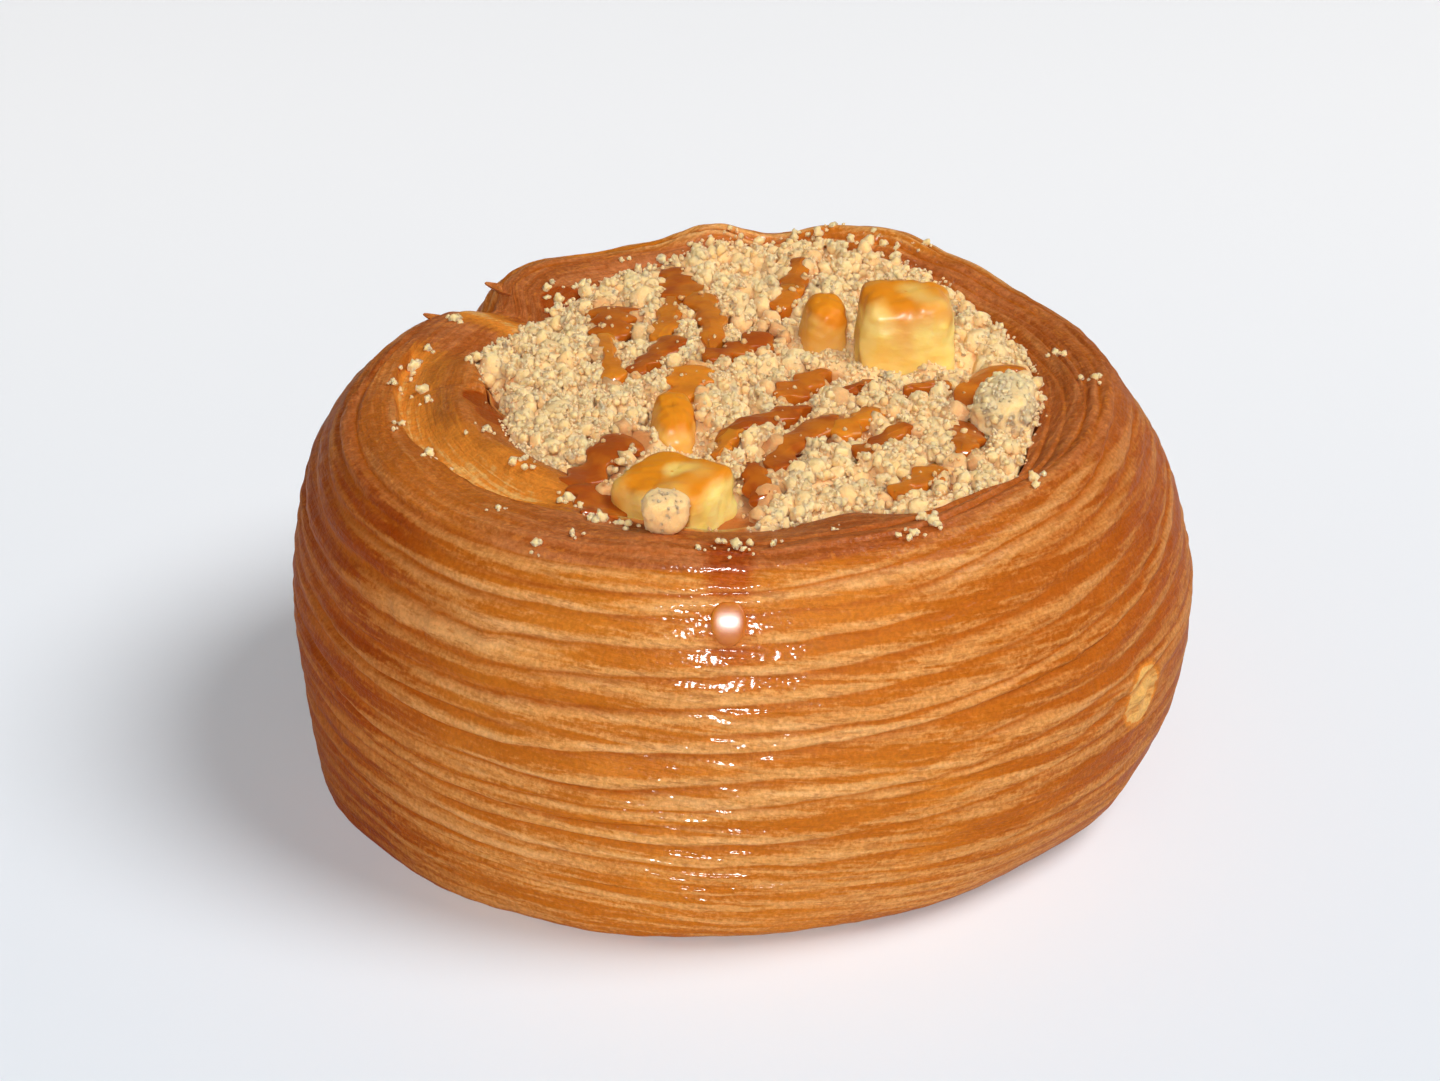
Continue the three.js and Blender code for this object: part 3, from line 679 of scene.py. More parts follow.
def make_flakes(settings):
    """Two torn flakes that stand up from the back left of the rim: each is a bead along a line that
    bends up with the square of the way along it, and narrows to its tip."""
    material = dough_material(settings)
    t = np.linspace(0, 1, 24)[:, None]
    half = FLAKE_HALF * (1 - t) ** 0.6 * np.clip(t / 0.1, 0, 1) ** 0.5
    rise = FLAKE_THICKNESS * (1 - t[:, 0]) ** 0.5
    across = np.cross(FLAKE_POINTS, UP)
    for number, (angle, radius, height) in enumerate(FLAKES):
        root = polar(np.array(angle), radius * MM, height * MM)
        path = root + FLAKE_LENGTH * (t - 0.5) * FLAKE_POINTS + FLAKE_BEND * UP * t ** 2
        base = path[:, None] + across * (half * np.cos(BEAD_TURNS)[None, :])[..., None]
        base = base + 0.5 * UP * (half * np.cos(BEAD_TURNS)[None, :] ** 2)[..., None]
        points, faces = bead(base, UP, rise, 0.18 * MM, BEAD_TURNS)
        fields = {key: np.zeros(len(points)) for key in DOUGH_FIELDS}
        fields["toast"] = np.full(len(points), 0.8)
        fields["grain"] = points / MM
        new_piece(f"flake_{number + 1}", points, faces, material, fields)


# Torn flakes as angle, radius and height in millimetres, and the way both of them point.
FLAKES = [(148.2, 41.4, 40.9), (136.9, 38.8, 42.8)]
FLAKE_LENGTH = 3.6 * MM
FLAKE_HALF = 1.5 * MM
FLAKE_THICKNESS = 0.22 * MM
FLAKE_BEND = 0.9 * MM
FLAKE_POINTS = np.array([-0.95, 0.1, 0.15]) / np.linalg.norm([-0.95, 0.1, 0.15])


def ring_grain(angle, run):
    """Coordinates for streaks along the rings: a small circle round the ring, millimetres across it."""
    a = np.radians(angle)
    grain = np.stack([GRAIN_CIRCLE * np.cos(a), GRAIN_CIRCLE * np.sin(a), run], axis=-1)
    return np.vstack([grain.reshape(-1, 3), np.zeros((2, 3))])


GRAIN_CIRCLE = 3.2


# ---------------------------------------------------------------- materials
class Shading:
    """A material's node tree, with short ways to add a node and to link what feeds it."""

    def __init__(self, name):
        self.material = bpy.data.materials.new(name)
        self.material.use_nodes = True
        self.tree = self.material.node_tree
        self.tree.nodes.clear()
        self.shader = self.add("ShaderNodeBsdfPrincipled")
        output = self.add("ShaderNodeOutputMaterial")
        self.link(self.shader.outputs["BSDF"], output.inputs["Surface"])

    def link(self, source, target):
        """Links an output to an input."""
        self.tree.links.new(source, target)

    def add(self, kind, inputs=None, **properties):
        """A new node with its properties set and its inputs fed."""
        node = self.tree.nodes.new(kind)
        for key, value in properties.items():
            setattr(node, key, value)
        for key, value in (inputs or {}).items():
            self.feed(node.inputs[key], value)
        return node

    def feed(self, socket, value):
        """Links an input to an output, or sets it to a number, a vector or a colour."""
        if isinstance(value, bpy.types.NodeSocket):
            self.link(value, socket)
        else:
            socket.default_value = (*value, 1.0) if isinstance(value, Color) else value

    def set(self, **values):
        """Feeds inputs of the shader, named in small letters with underscores."""
        for key, value in values.items():
            self.feed(self.shader.inputs[key.replace("_", " ").title().replace("Ior", "IOR")], value)

    def field(self, name, output="Fac"):
        """A value that the mesh holds at its points."""
        return self.add("ShaderNodeAttribute", attribute_name=name).outputs[output]

    def place(self):
        """The place on the piece, in metres."""
        return self.add("ShaderNodeTexCoord").outputs["Object"]

    def noise(self, vector, scale, detail=3.0, roughness=0.55):
        """Noise of about 0 to 1 with so many turns to a unit of the vector."""
        inputs = {"Vector": vector, "Scale": scale, "Detail": detail, "Roughness": roughness}
        return self.add("ShaderNodeTexNoise", inputs).outputs["Fac"]

    def range(self, value, low, high, to_low=0.0, to_high=1.0):
        """A smooth step that goes from to_low at low to to_high at high."""
        inputs = {"Value": value, "From Min": low, "From Max": high, "To Min": to_low, "To Max": to_high}
        return self.add("ShaderNodeMapRange", inputs, interpolation_type="SMOOTHSTEP").outputs["Result"]

    def scaled(self, vector, factors):
        """A vector with each part multiplied by its factor."""
        node = self.add("ShaderNodeVectorMath", operation="MULTIPLY")
        self.feed(node.inputs[0], vector)
        self.feed(node.inputs[1], factors)
        return node.outputs["Vector"]

    def swing(self, noise, reach):
        """A noise's middle range, spread from -reach to reach."""
        return self.range(noise, 0.3, 0.7, -reach, reach)

    def plus(self, a, b, clamp=False):
        """The sum of two values."""
        return self.math("ADD", a, b, clamp)

    def times(self, a, b, clamp=False):
        """The product of two values."""
        return self.math("MULTIPLY", a, b, clamp)

    def math(self, operation, a, b, clamp=False):
        """The operation's result for two values, kept between 0 and 1 if clamp says so."""
        node = self.add("ShaderNodeMath", operation=operation, use_clamp=clamp)
        self.feed(node.inputs[0], a)
        self.feed(node.inputs[1], b)
        return node.outputs["Value"]

    def blend(self, share, a, b, mode="MIX"):
        """Colour a where share is 0, and b, or a multiplied by b, where it is 1."""
        node = self.add("ShaderNodeMix", data_type="RGBA", blend_type=mode)
        self.feed(node.inputs["Factor"], share)
        self.feed(node.inputs[6], a)
        self.feed(node.inputs[7], b)
        return node.outputs[2]

    def bump(self, height, distance, strength=1.0):
        """A normal tilted by the slope of height, which stands for that distance where it is 1."""
        inputs = {"Height": height, "Distance": distance, "Strength": strength}
        return self.add("ShaderNodeBump", inputs).outputs["Normal"]


DoughNoise = namedtuple("DoughNoise", "streak fibre fine short specks patches mottle blotches")


def dough_noise(s, grain):
    """Streaks, fibres, grain and short dashes that follow the rings, and specks, patches, mottling and
    blotches that do not."""
    place = s.place()
    return DoughNoise(
        streak=s.noise(s.scaled(grain, (0.3, 0.3, 0.42)), 2.0, 2.0),
        fibre=s.noise(s.scaled(grain, (0.45, 0.45, 1.0)), 2.0, 3.0, 0.6),
        fine=s.noise(s.scaled(grain, (3.2, 3.2, 1.0)), 2.4, 4.0, 0.65),
        short=s.noise(s.scaled(grain, (4.0, 4.0, 1.0)), 1.5, 3.0, 0.6),
        specks=s.noise(place, 2100.0, 3.0, 0.65),
        patches=s.noise(place, 85.0, 3.0),
        mottle=s.noise(place, 520.0, 4.0, 0.65),
        blotches=s.noise(place, 1050.0, 4.0, 0.7),
    )


def uneven_band(s, n):
    """How strongly a place is part of a pale band, with the band's edges and middle made uneven."""
    shift = s.plus(s.swing(n.streak, 0.42), s.swing(n.fibre, 0.16))
    rough = s.plus(s.swing(n.fine, 0.26), s.swing(n.specks, 0.15))
    return s.plus(s.field("band"), s.plus(shift, rough))


def crust_colour(s, settings, n, band):
    """Pale bands over deep dough with golden patches, and painted shade that darkens the sides."""
    base = s.blend(s.range(band, 0.0, 0.85), settings.deep, settings.gold)
    base = s.blend(s.range(band, 0.8, 1.5), base, settings.pale)
    amber = s.times(s.range(n.patches, 0.45, 0.75, 0.0, 0.8), s.range(band, 0.2, 0.9, 1.0, 0.2))
    base = s.blend(amber, base, settings.amber)
    # Painted shade: where less light reaches the sides, they are multiplied by a darker tint, a little less
    # on the pale bands.
    side_shade = s.times(s.field("side"), s.range(band, 0.1, 1.0, 1.0, 0.7))
    return s.blend(side_shade, base, settings.side_shade_tint, "MULTIPLY")


def crest_colour(s, settings, n):
    """Mottled brown with lighter streaks and small amber glints."""
    crest = s.plus(s.range(n.mottle, 0.35, 0.68, 0.0, 0.45), s.range(n.streak, 0.35, 0.65, -0.2, 0.45))
    crest = s.plus(crest, s.range(n.blotches, 0.35, 0.65, -0.15, 0.2), clamp=True)
    crest = s.blend(crest, settings.crest, settings.crest_light)
    glints = s.times(s.range(n.blotches, 0.5, 0.62), s.range(n.fibre, 0.45, 0.6, 0.0, 0.35))
    return s.blend(glints, crest, settings.amber)


def toasted(s, n):
    """How much of the crest's colour shows: all over the crest, and in patches on the sides."""
    toast = s.times(s.field("toast"), s.range(n.mottle, 0.2, 0.5, 0.75, 1.0))
    brown = s.times(s.field("brown"), s.range(n.mottle, 0.3, 0.7, 0.3, 0.75))
    return s.plus(toast, brown, clamp=True)


def with_cut_faces(s, settings, n, base):
    """Where the layers lie open the dough is brown at the edges, then golden, then pale and flaky."""
    cut = s.plus(s.plus(s.field("cut"), s.swing(n.mottle, 0.12)), s.swing(n.fibre, 0.16))
    cut = s.times(cut, s.range(s.field("cut"), 0.0, 0.08), clamp=True)
    base = s.blend(s.range(cut, 0.04, 0.3), base, settings.face)
    base = s.blend(s.range(cut, 0.3, 0.65), base, settings.cut)
    return s.blend(s.range(cut, 0.75, 1.0, 0.0, 0.85), base, settings.flake)


def with_marks(s, settings, n, band, base):
    """Patchy painted shade in grooves, brown flecks on the bands, specks, and caramel where it has run."""
    # Painted shade: the grooves and the splits between layers take the groove colour, in patches.
    dark = s.times(s.field("groove"), s.range(n.fine, 0.25, 0.6, 0.3, 0.95))
    dark = s.times(dark, s.range(n.streak, 0.32, 0.6, 0.35, 1.0), clamp=True)
    base = s.blend(dark, base, settings.groove)
    flecks = s.times(s.range(n.short, 0.5, 0.62), s.range(n.fine, 0.42, 0.56))
    base = s.blend(s.times(flecks, s.range(band, 0.2, 0.9, 0.0, 0.6)), base, settings.fleck)
    base = s.blend(0.6, base, s.range(n.specks, 0.3, 0.7, 0.78, 1.22), "MULTIPLY")
    base = s.blend(s.range(s.field("syrup"), 0.0, 0.5), base, settings.run, "MULTIPLY")
    return s.blend(s.range(s.field("syrup"), 0.6, 1.0, 0.0, 0.9), base, settings.syrup)


def glaze_relief(s, grain):
    """Fine dimples in the glaze, with dashes along the rings that grow stronger towards the foot. The
    dimples are deeper on the rim."""
    up_the_wall = s.add("ShaderNodeSeparateXYZ", {"Vector": grain}).outputs["Z"]
    dimples = s.noise(s.scaled(grain, (12.0, 12.0, 1.0)), 2.1, 0.0)
    dashes = s.noise(s.scaled(grain, (2.6, 2.6, 1.0)), 1.1, 0.0)
    relief = s.plus(dimples, s.times(dashes, s.range(up_the_wall, 6.0, 40.0, 18.0, 1.0)))
    return s.bump(relief, s.range(up_the_wall, 46.0, 56.0, 0.07 * MM, 0.3 * MM), 1.0)


def dough_material(settings):
    """Baked dough: pale grainy bands over smooth deep ones, patchy painted shade in the grooves, painted
    shade at the sides, a browned crest, a golden cut face where the layers are open, and caramel where
    it has run, under a thin glaze."""
    s = Shading("baked dough")
    grain = s.field("grain", "Vector")
    n = dough_noise(s, grain)
    band = uneven_band(s, n)
    base = s.blend(toasted(s, n), crust_colour(s, settings, n, band), crest_colour(s, settings, n))
    base = with_marks(s, settings, n, band, with_cut_faces(s, settings, n, base))
    relief = s.plus(s.plus(s.times(n.fibre, 1.2), s.times(n.fine, 0.9)), s.times(n.blotches, 1.2))
    s.set(
        base_color=base,
        roughness=s.range(s.math("SUBTRACT", band, s.field("syrup")), -0.5, 1.0, 0.36, 0.55),
        specular_ior_level=0.03,
        normal=s.bump(relief, 0.3 * MM, 0.6),
        coat_weight=s.range(s.field("side"), 0.1, 0.9, 0.09, 0.03),
        coat_roughness=0.12,
        coat_normal=glaze_relief(s, grain),
        subsurface_weight=0.1,
        subsurface_scale=0.001,
    )
    return s.material


def crumb_material(settings):
    """Dry crumble: each crumb has its own tone, is wetted near caramel, and has a sandy surface."""
    s = Shading("dry crumble")
    sand = s.noise(s.place(), 2100.0, 3.0, 0.7)
    base = s.blend(s.field("tone"), settings.brown, settings.cream)
    base = s.blend(s.field("wet"), base, settings.wet)
    base = s.blend(0.4, base, s.range(sand, 0.3, 0.7, 0.82, 1.16), "MULTIPLY")
    s.set(
        base_color=base,
        roughness=0.9,
        specular_ior_level=0.15,
        normal=s.bump(sand, 0.0003, 0.4),
        subsurface_weight=0.7,
        subsurface_radius=(1.0, 0.8, 0.55),
        subsurface_scale=0.0016,
    )
    return s.material


def caramel_material(settings, name="caramel", coat=0.35, coat_roughness=0.08, specular=0.06):
    """Caramel: glossy, with a warm glow under a smooth coat, darker where it lies thick."""
    s = Shading(name)
    cloud = s.noise(s.place(), 300.0, 3.0)
    depth = s.plus(s.field("depth"), s.swing(cloud, 0.25), clamp=True)
    base = s.blend(depth, settings.thin, settings.deep)
    s.set(
        base_color=base,
        roughness=0.32,
        specular_ior_level=specular,
        subsurface_weight=0.3,
        subsurface_radius=(1.0, 0.35, 0.06),
        subsurface_scale=0.001,
        coat_weight=coat,
        coat_roughness=coat_roughness,
        normal=s.bump(cloud, 0.0005, 0.5),
    )
    return s.material


def apple_material(settings):
    """Cooked apple: pale wet flesh with faint fibres, brown-gold where the caramel glaze lies on it."""
    s = Shading("glazed apple")
    fibres = s.noise(s.scaled(s.place(), (1.0, 1.0, 2.2)), 260.0, 4.0)
    clouds = s.noise(s.place(), 120.0, 2.0)
    base = s.blend(s.range(fibres, 0.35, 0.65), settings.flesh, settings.deep_flesh)
    base = s.blend(s.range(clouds, 0.35, 0.7, 0.0, 0.6), base, settings.gold_flesh)
    base = s.blend(s.field("glaze"), base, settings.glaze)
    s.set(
        base_color=base,
        roughness=0.42,
        specular_ior_level=0.07,
        subsurface_weight=0.4,
        subsurface_radius=(1.0, 0.55, 0.14),
        subsurface_scale=0.002,
        coat_weight=0.06,
        coat_roughness=0.26,
        normal=s.bump(fibres, 0.0004, 0.5),
    )
    return s.material


# ---------------------------------------------------------------- crumbs
def round_form(divisions):
    """Points on the unit sphere and triangles of an icosahedron, each triangle cut in four so often."""
    golden = (1 + 5 ** 0.5) / 2
    corner = [[-1, golden, 0], [1, golden, 0], [-1, -golden, 0], [1, -golden, 0]]
    points = np.vstack([np.roll(corner, k, axis=1) for k in range(3)]).astype(float)
    points /= np.linalg.norm(points[0])
    gap = np.linalg.norm(points[:, None] - points[None], axis=2)
    near = np.isclose(gap, np.sort(gap[0])[1])
    i, j, k = np.nonzero(near[:, :, None] & near[None] & near[:, None, :])
    faces = np.stack([i, j, k], 1)[(i < j) & (j < k)]
    facing = np.einsum("ij,ij->i", np.cross(points[faces[:, 1]] - points[faces[:, 0]],
                                            points[faces[:, 2]] - points[faces[:, 0]]), points[faces[:, 0]])
    faces[facing < 0] = faces[facing < 0][:, ::-1]
    for _ in range(divisions):
        pairs = np.sort(np.vstack([faces[:, [0, 1]], faces[:, [1, 2]], faces[:, [2, 0]]]), axis=1)
        edges, index = np.unique(pairs, axis=0, return_inverse=True)
        middle = points[edges].mean(1)
        ab, bc, ca = index.reshape(3, -1) + len(points)
        points = np.vstack([points, middle / np.linalg.norm(middle, axis=1, keepdims=True)])
        a, b, c = faces.T
        faces = np.vstack([np.stack(t, 1) for t in ([a, ab, ca], [ab, b, bc], [ca, bc, c], [ab, bc, ca])])
    return points, faces


def random_turns(rng, count):
    """Rotation matrices of evenly random unit quaternions."""
    q = rng.normal(size=(count, 4))
    w, x, y, z = (q / np.linalg.norm(q, axis=1, keepdims=True)).T
    rows = [
        [1 - 2 * (y * y + z * z), 2 * (x * y - z * w), 2 * (x * z + y * w)],
        [2 * (x * y + z * w), 1 - 2 * (x * x + z * z), 2 * (y * z - x * w)],
        [2 * (x * z - y * w), 2 * (y * z + x * w), 1 - 2 * (x * x + y * y)],
    ]
    return np.moveaxis(np.array(rows), 2, 0)


def crumb_meshes(rng, places, sizes, divisions, rough):
    """All crumbs of a kind as one mesh: a round form with each point drawn in or out at random and
    each axis its own length, turned any way, at the given places; sizes are their mean radii."""
    points, faces = round_form(divisions)
    count = len(places)
    reach = 1 + rough * rng.normal(size=(count, len(points), 1))
    stretch = rng.uniform(0.75, 1.2, (count, 1, 3))
    shapes = points[None] * np.clip(reach, 0.6, 1.5) * stretch * sizes[:, None, None]
    shapes = np.einsum("nij,nkj->nki", random_turns(rng, count), shapes) + places[:, None]
    offsets = (np.arange(count) * len(points))[:, None, None]
    return shapes.reshape(-1, 3), (faces[None] + offsets).reshape(-1, 3), len(points)


class Heap:
    """Heights of the crumble on a square grid, raised by every crumb that is dropped on it."""

    def __init__(self, height):
        self.height = height

    def cell(self, value):
        """A coordinate counted in cells from the grid's corner."""
        return (value + HEAP_REACH) / HEAP_CELL

    def at(self, x, y):
        """Height at a place, between the four cells around it."""
        last = len(self.height) - 2
        i, j = np.clip(self.cell(x), 0, last), np.clip(self.cell(y), 0, last)
        a, b = i.astype(int), j.astype(int)
        u, v = i - a, j - b
        h = self.height
        return mix(mix(h[a, b], h[a + 1, b], u), mix(h[a, b + 1], h[a + 1, b + 1], u), v)

    def drop(self, x, y, size, sink, ceiling):
        """Sinks a crumb of radius size in the mean height under it and returns its middle's height,
        or nothing where it would stand over the ceiling."""
        i, j = int(round(self.cell(x))), int(round(self.cell(y)))
        n = max(1, int(np.ceil(size / HEAP_CELL)))
        window = np.s_[max(i - n, 0):i + n + 1, max(j - n, 0):j + n + 1]
        under = self.height[window]
        away = (HEAP_X[window] - x) ** 2 + (HEAP_Y[window] - y) ** 2
        covered = away <= size ** 2
        level = under[covered].mean() if covered.any() else under.mean()
        middle = level + size * (1 - 2 * sink)
        if middle + size > ceiling:
            return np.nan
        cap = middle + 0.85 * np.sqrt(np.clip(size ** 2 - away, 0, None))
        self.height[window] = np.where(covered, np.maximum(under, cap), under)
        return middle

    def smoothed(self, rounds):
        """A copy with each cell averaged with its four neighbours, so many times."""
        h = self.height
        for _ in range(rounds):
            h = (h + np.roll(h, 1, 0) + np.roll(h, -1, 0) + np.roll(h, 1, 1) + np.roll(h, -1, 1)) / 5
        return Heap(h)


HEAP_REACH = 44 * MM
HEAP_LINE = np.arange(-HEAP_REACH, HEAP_REACH + HEAP_CELL, HEAP_CELL)
HEAP_X, HEAP_Y = np.meshgrid(HEAP_LINE, HEAP_LINE, indexing="ij")
CORE_SINK = 1.5 * MM
CEILING = 1.1 * MM


def heap_height(x, y):
    """The crumble swells from just over the rim's inner edge to the middle, by the power 2.4 of the
    share of the radius; outside it is the rim."""
    angle, radius = np.degrees(np.arctan2(y, x)), np.hypot(x, y)
    edge = filling_radius(angle)
    inside = mix(HEAP_MIDDLE, rim_edge_height(angle) + 0.4 * MM, np.clip(radius / edge, 0, 1) ** 2.4)
    return np.where(radius < edge, inside, rim_height(angle, np.maximum(radius, edge)))


def core_height(x, y):
    """The heap under its crumbs: lower by a crumb's depth, with humps that are a sum of sine waves in
    random directions, and lower still where the caramel lies open."""
    rng = np.random.default_rng(21)
    total = 0 * x
    for _ in range(26):
        heading, pitch, phase = rng.uniform(0, 2 * np.pi), rng.uniform(5, 12) * MM, rng.uniform(0, 2 * np.pi)
        total = total + np.sin((x * np.cos(heading) + y * np.sin(heading)) * 2 * np.pi / pitch + phase)
    angle, radius = np.degrees(np.arctan2(y, x)), np.hypot(x, y)
    inside = smooth((filling_radius(angle) - radius) / (2 * MM))
    humps = 0.5 * MM * total / np.sqrt(13)
    return heap_height(x, y) + inside * (humps - CORE_SINK - 0.9 * MM * bare(x, y))


def bare(x, y):
    """1 on the spots where caramel lies open with no crumbs on it: beside and before the front dice,
    and at the left."""
    return near_spots(BARE_SPOTS, x, y)


BARE_SPOTS = [
    Spot(-17.0, -22.0, 3.2), Spot(-13.5, -29.0, 3.6), Spot(-7.5, -32.0, 4.0),
    Spot(-2.0, -31.0, 3.6), Spot(-27.6, -4.5, 2.0), Spot(-28.4, -0.6, 2.2),
    Spot(-27.6, 3.4, 1.6),
]


def clear_of_toppings(x, y, size, inset):
    """True where a crumb of that radius stays beside every topping's foot, or no further in than inset:
    outside its rectangle, along its own axes, widened by half that radius less the inset."""
    free = np.ones(len(x), bool)
    for piece in [*DICE.values(), *LUMPS.values()]:
        a = np.radians(piece.turn[2])
        dx, dy = x - piece.at[0] * MM, y - piece.at[1] * MM
        u, v = dx * np.cos(a) + dy * np.sin(a), dy * np.cos(a) - dx * np.sin(a)
        wide = 0.5 * piece.size[0] * MM + 0.5 * size - inset
        deep = 0.5 * piece.size[1] * MM + 0.5 * size - inset
        free &= (np.abs(u) > wide) | (np.abs(v) > deep)
    return free


def hides_a_face(x, y, size):
    """True for the larger crumbs in a rectangle before the front of a dice, where they would hide it."""
    hidden = np.zeros(len(x), bool)
    for piece in DICE.values():
        dx, dy = np.abs(x / MM - piece.at[0]), piece.at[1] - y / MM
        hidden |= (dx < 0.75 * piece.size[0]) & (dy > 0) & (dy < 0.5 * piece.size[1] + FACE_SPACE)
    return hidden & (size > LOW_CRUMB)


FACE_SPACE = 4.2
LOW_CRUMB = 0.42 * MM


@functools.lru_cache(maxsize=None)
def stroke_points():
    """Closely spaced points of all caramel strokes, as x, y and half width."""
    found = []
    for width, _, *points in STROKES:
        path = smooth_path(longer(np.array(points, float), STROKE_REACH) * MM, 40)
        found.append(np.column_stack([path, np.full(len(path), 0.45 * width * MM)]))
    return np.vstack(found)


def near_stroke(x, y):
    """Distance from each place to the edge of the nearest caramel stroke, negative inside it: the least
    of the distances to the strokes' points, each less the half width there."""
    strokes = stroke_points()
    away = np.hypot(x[:, None] - strokes[None, :, 0], y[:, None] - strokes[None, :, 1])
    return (away - strokes[None, :, 2]).min(1)


def smooth_path(points, count):
    """A Catmull-Rom curve through the points, in count even steps of its parameter."""
    ends = np.vstack([2 * points[0] - points[1], points, 2 * points[-1] - points[-2]])
    t = np.linspace(0, len(points) - 1, count)
    k = np.minimum(t.astype(int), len(points) - 2)
    u = (t - k)[:, None]
    p0, p1, p2, p3 = ends[k], ends[k + 1], ends[k + 2], ends[k + 3]
    return 0.5 * (2 * p1 + (p2 - p0) * u + (2 * p0 - 5 * p1 + 4 * p2 - p3) * u ** 2
                  + (3 * p1 - p0 - 3 * p2 + p3) * u ** 3)


def spread(rng, count, over):
    """Random places in the filling out to `over` past its edge. The root of a random share of the
    radius spreads them evenly by area."""
    angle = rng.uniform(-180, 180, count)
    radius = np.sqrt(rng.uniform(0, 1, count)) * (filling_radius(angle) + over)
    a = np.radians(angle)
    return radius * np.cos(a), radius * np.sin(a)


# Kinds of crumbs: how many are strewn, their smallest and largest radius, how often the round form is
# cut finer and how rough it is, how far they lie over the filling's edge, how much of them sinks in the
# heap, and the seed of their random draws. Lengths are millimetres.
Kind = namedtuple("Kind", "name count small large divisions rough over sink seed")
KINDS = [
    Kind("crumbs_large", 620, 0.95, 1.75, 1, 0.11, -1.0, 0.3, 1),
    Kind("crumbs_medium", 2450, 0.45, 1.1, 1, 0.14, -0.3, 0.33, 2),
    Kind("crumbs_small", 5200, 0.24, 0.45, 0, 0.17, 0.1, 0.4, 3),
    Kind("crumbs_fine", 6600, 0.12, 0.24, 0, 0.18, 0.7, 0.34, 4),
]
# The kinds that are strewn when the caramel lies there, the share of them that stays on it, how far
# crumbs reach in under the toppings, and how many rounds of smoothing make the caramel's bed.
LATE_KINDS = ("crumbs_small", "crumbs_fine")
ON_CARAMEL = 0.05
LATE_INSET = 1.1 * MM
EARLY_INSET = 0.2 * MM
BED_ROUNDS = 150


def strewn(kind):
    """Random places and sizes of a kind's crumbs: beside the toppings, off the bare caramel and the
    faces of the dice, and, but for a few, off the strokes if the kind is a late one. A power of a
    random share makes more small ones than large ones."""
    rng = np.random.default_rng(kind.seed)
    x, y = spread(rng, kind.count, kind.over * MM)
    size = mix(kind.small, kind.large, rng.uniform(0, 1, kind.count) ** 1.8) * MM
    late = kind.name in LATE_KINDS
    keep = clear_of_toppings(x, y, size, LATE_INSET if late else EARLY_INSET)
    keep &= (bare(x, y) < rng.uniform(0.15, 0.9, kind.count)) & ~hides_a_face(x, y, size)
    if late:
        keep &= (near_stroke(x, y) > -0.05 * MM) | (rng.uniform(0, 1, kind.count) < ON_CARAMEL)
    return x[keep], y[keep], size[keep]


def round_the_caramel(kind, places, size, bed):
    """Late crumbs inside a stroke are lifted onto it; earlier ones that stand out of it are left out."""
    x, y, z = places.T
    inside, surface = near_stroke(x, y) < -0.1 * MM, bed.at(x, y) + STROKE_LIFT
    if kind.name in LATE_KINDS:
        places[:, 2] = np.where(inside, surface + 0.4 * MM + 0.4 * size, z)
        return places, size
    under = ~inside | (z + 0.8 * size < surface + 0.2 * MM)
    return places[under], size[under]


@functools.lru_cache(maxsize=None)
def crumble_layout():
    """Drops every crumb on the heap, largest kinds first, and gives their places and sizes. The bed of
    the caramel is the heap as the medium crumbs leave it, smoothed."""
    heap = Heap(core_height(HEAP_X, HEAP_Y))
    layout = {}
    for kind in KINDS:
        x, y, size = strewn(kind)
        ceiling = heap_height(x, y) + CEILING
        z = np.array([heap.drop(*crumb, kind.sink, top) for *crumb, top in zip(x, y, size, ceiling)])
        laid = np.isfinite(z)
        layout[kind.name] = (np.stack([x, y, z], 1)[laid], size[laid])
        if kind.name == "crumbs_medium":
            bed = heap.smoothed(BED_ROUNDS)
    for kind in KINDS:
        layout[kind.name] = round_the_caramel(kind, *layout[kind.name], bed)
    return {**layout, "caramel bed": bed}


def crumb_fields(rng, places, corners):
    """Each crumb's own tone, normally spread, and how wet it is: a smooth step down with the distance
    from the caramel, times a random share, and fully wet on the bare spots."""
    tone = np.clip(rng.normal(0.7, 0.22, len(places)), 0, 1)
    wet = 0.6 * (1 - smooth(near_stroke(places[:, 0], places[:, 1]) / (0.7 * MM)))
    wet = wet * rng.uniform(0.3, 1, len(places))
    wet = np.maximum(wet, bare(places[:, 0], places[:, 1]))
    return {"tone": np.repeat(tone, corners), "wet": np.repeat(wet, corners)}


def make_crumbs(settings):
    """The loose crumbs of the heap: each is a unit icosahedron, cut finer for the large kinds, whose
    points are moved in or out by a normal share of its radius, whose axes are stretched one by one,
    and that is turned at random and laid at its place on the heap."""
    material = crumb_material(settings)
    layout = crumble_layout()
    for kind in KINDS:
        rng = np.random.default_rng(100 + kind.seed)
        places, sizes = layout[kind.name]
        points, faces, corners = crumb_meshes(rng, places, sizes, kind.divisions, kind.rough)
        new_piece(kind.name, points, [faces], material, crumb_fields(rng, places, corners))


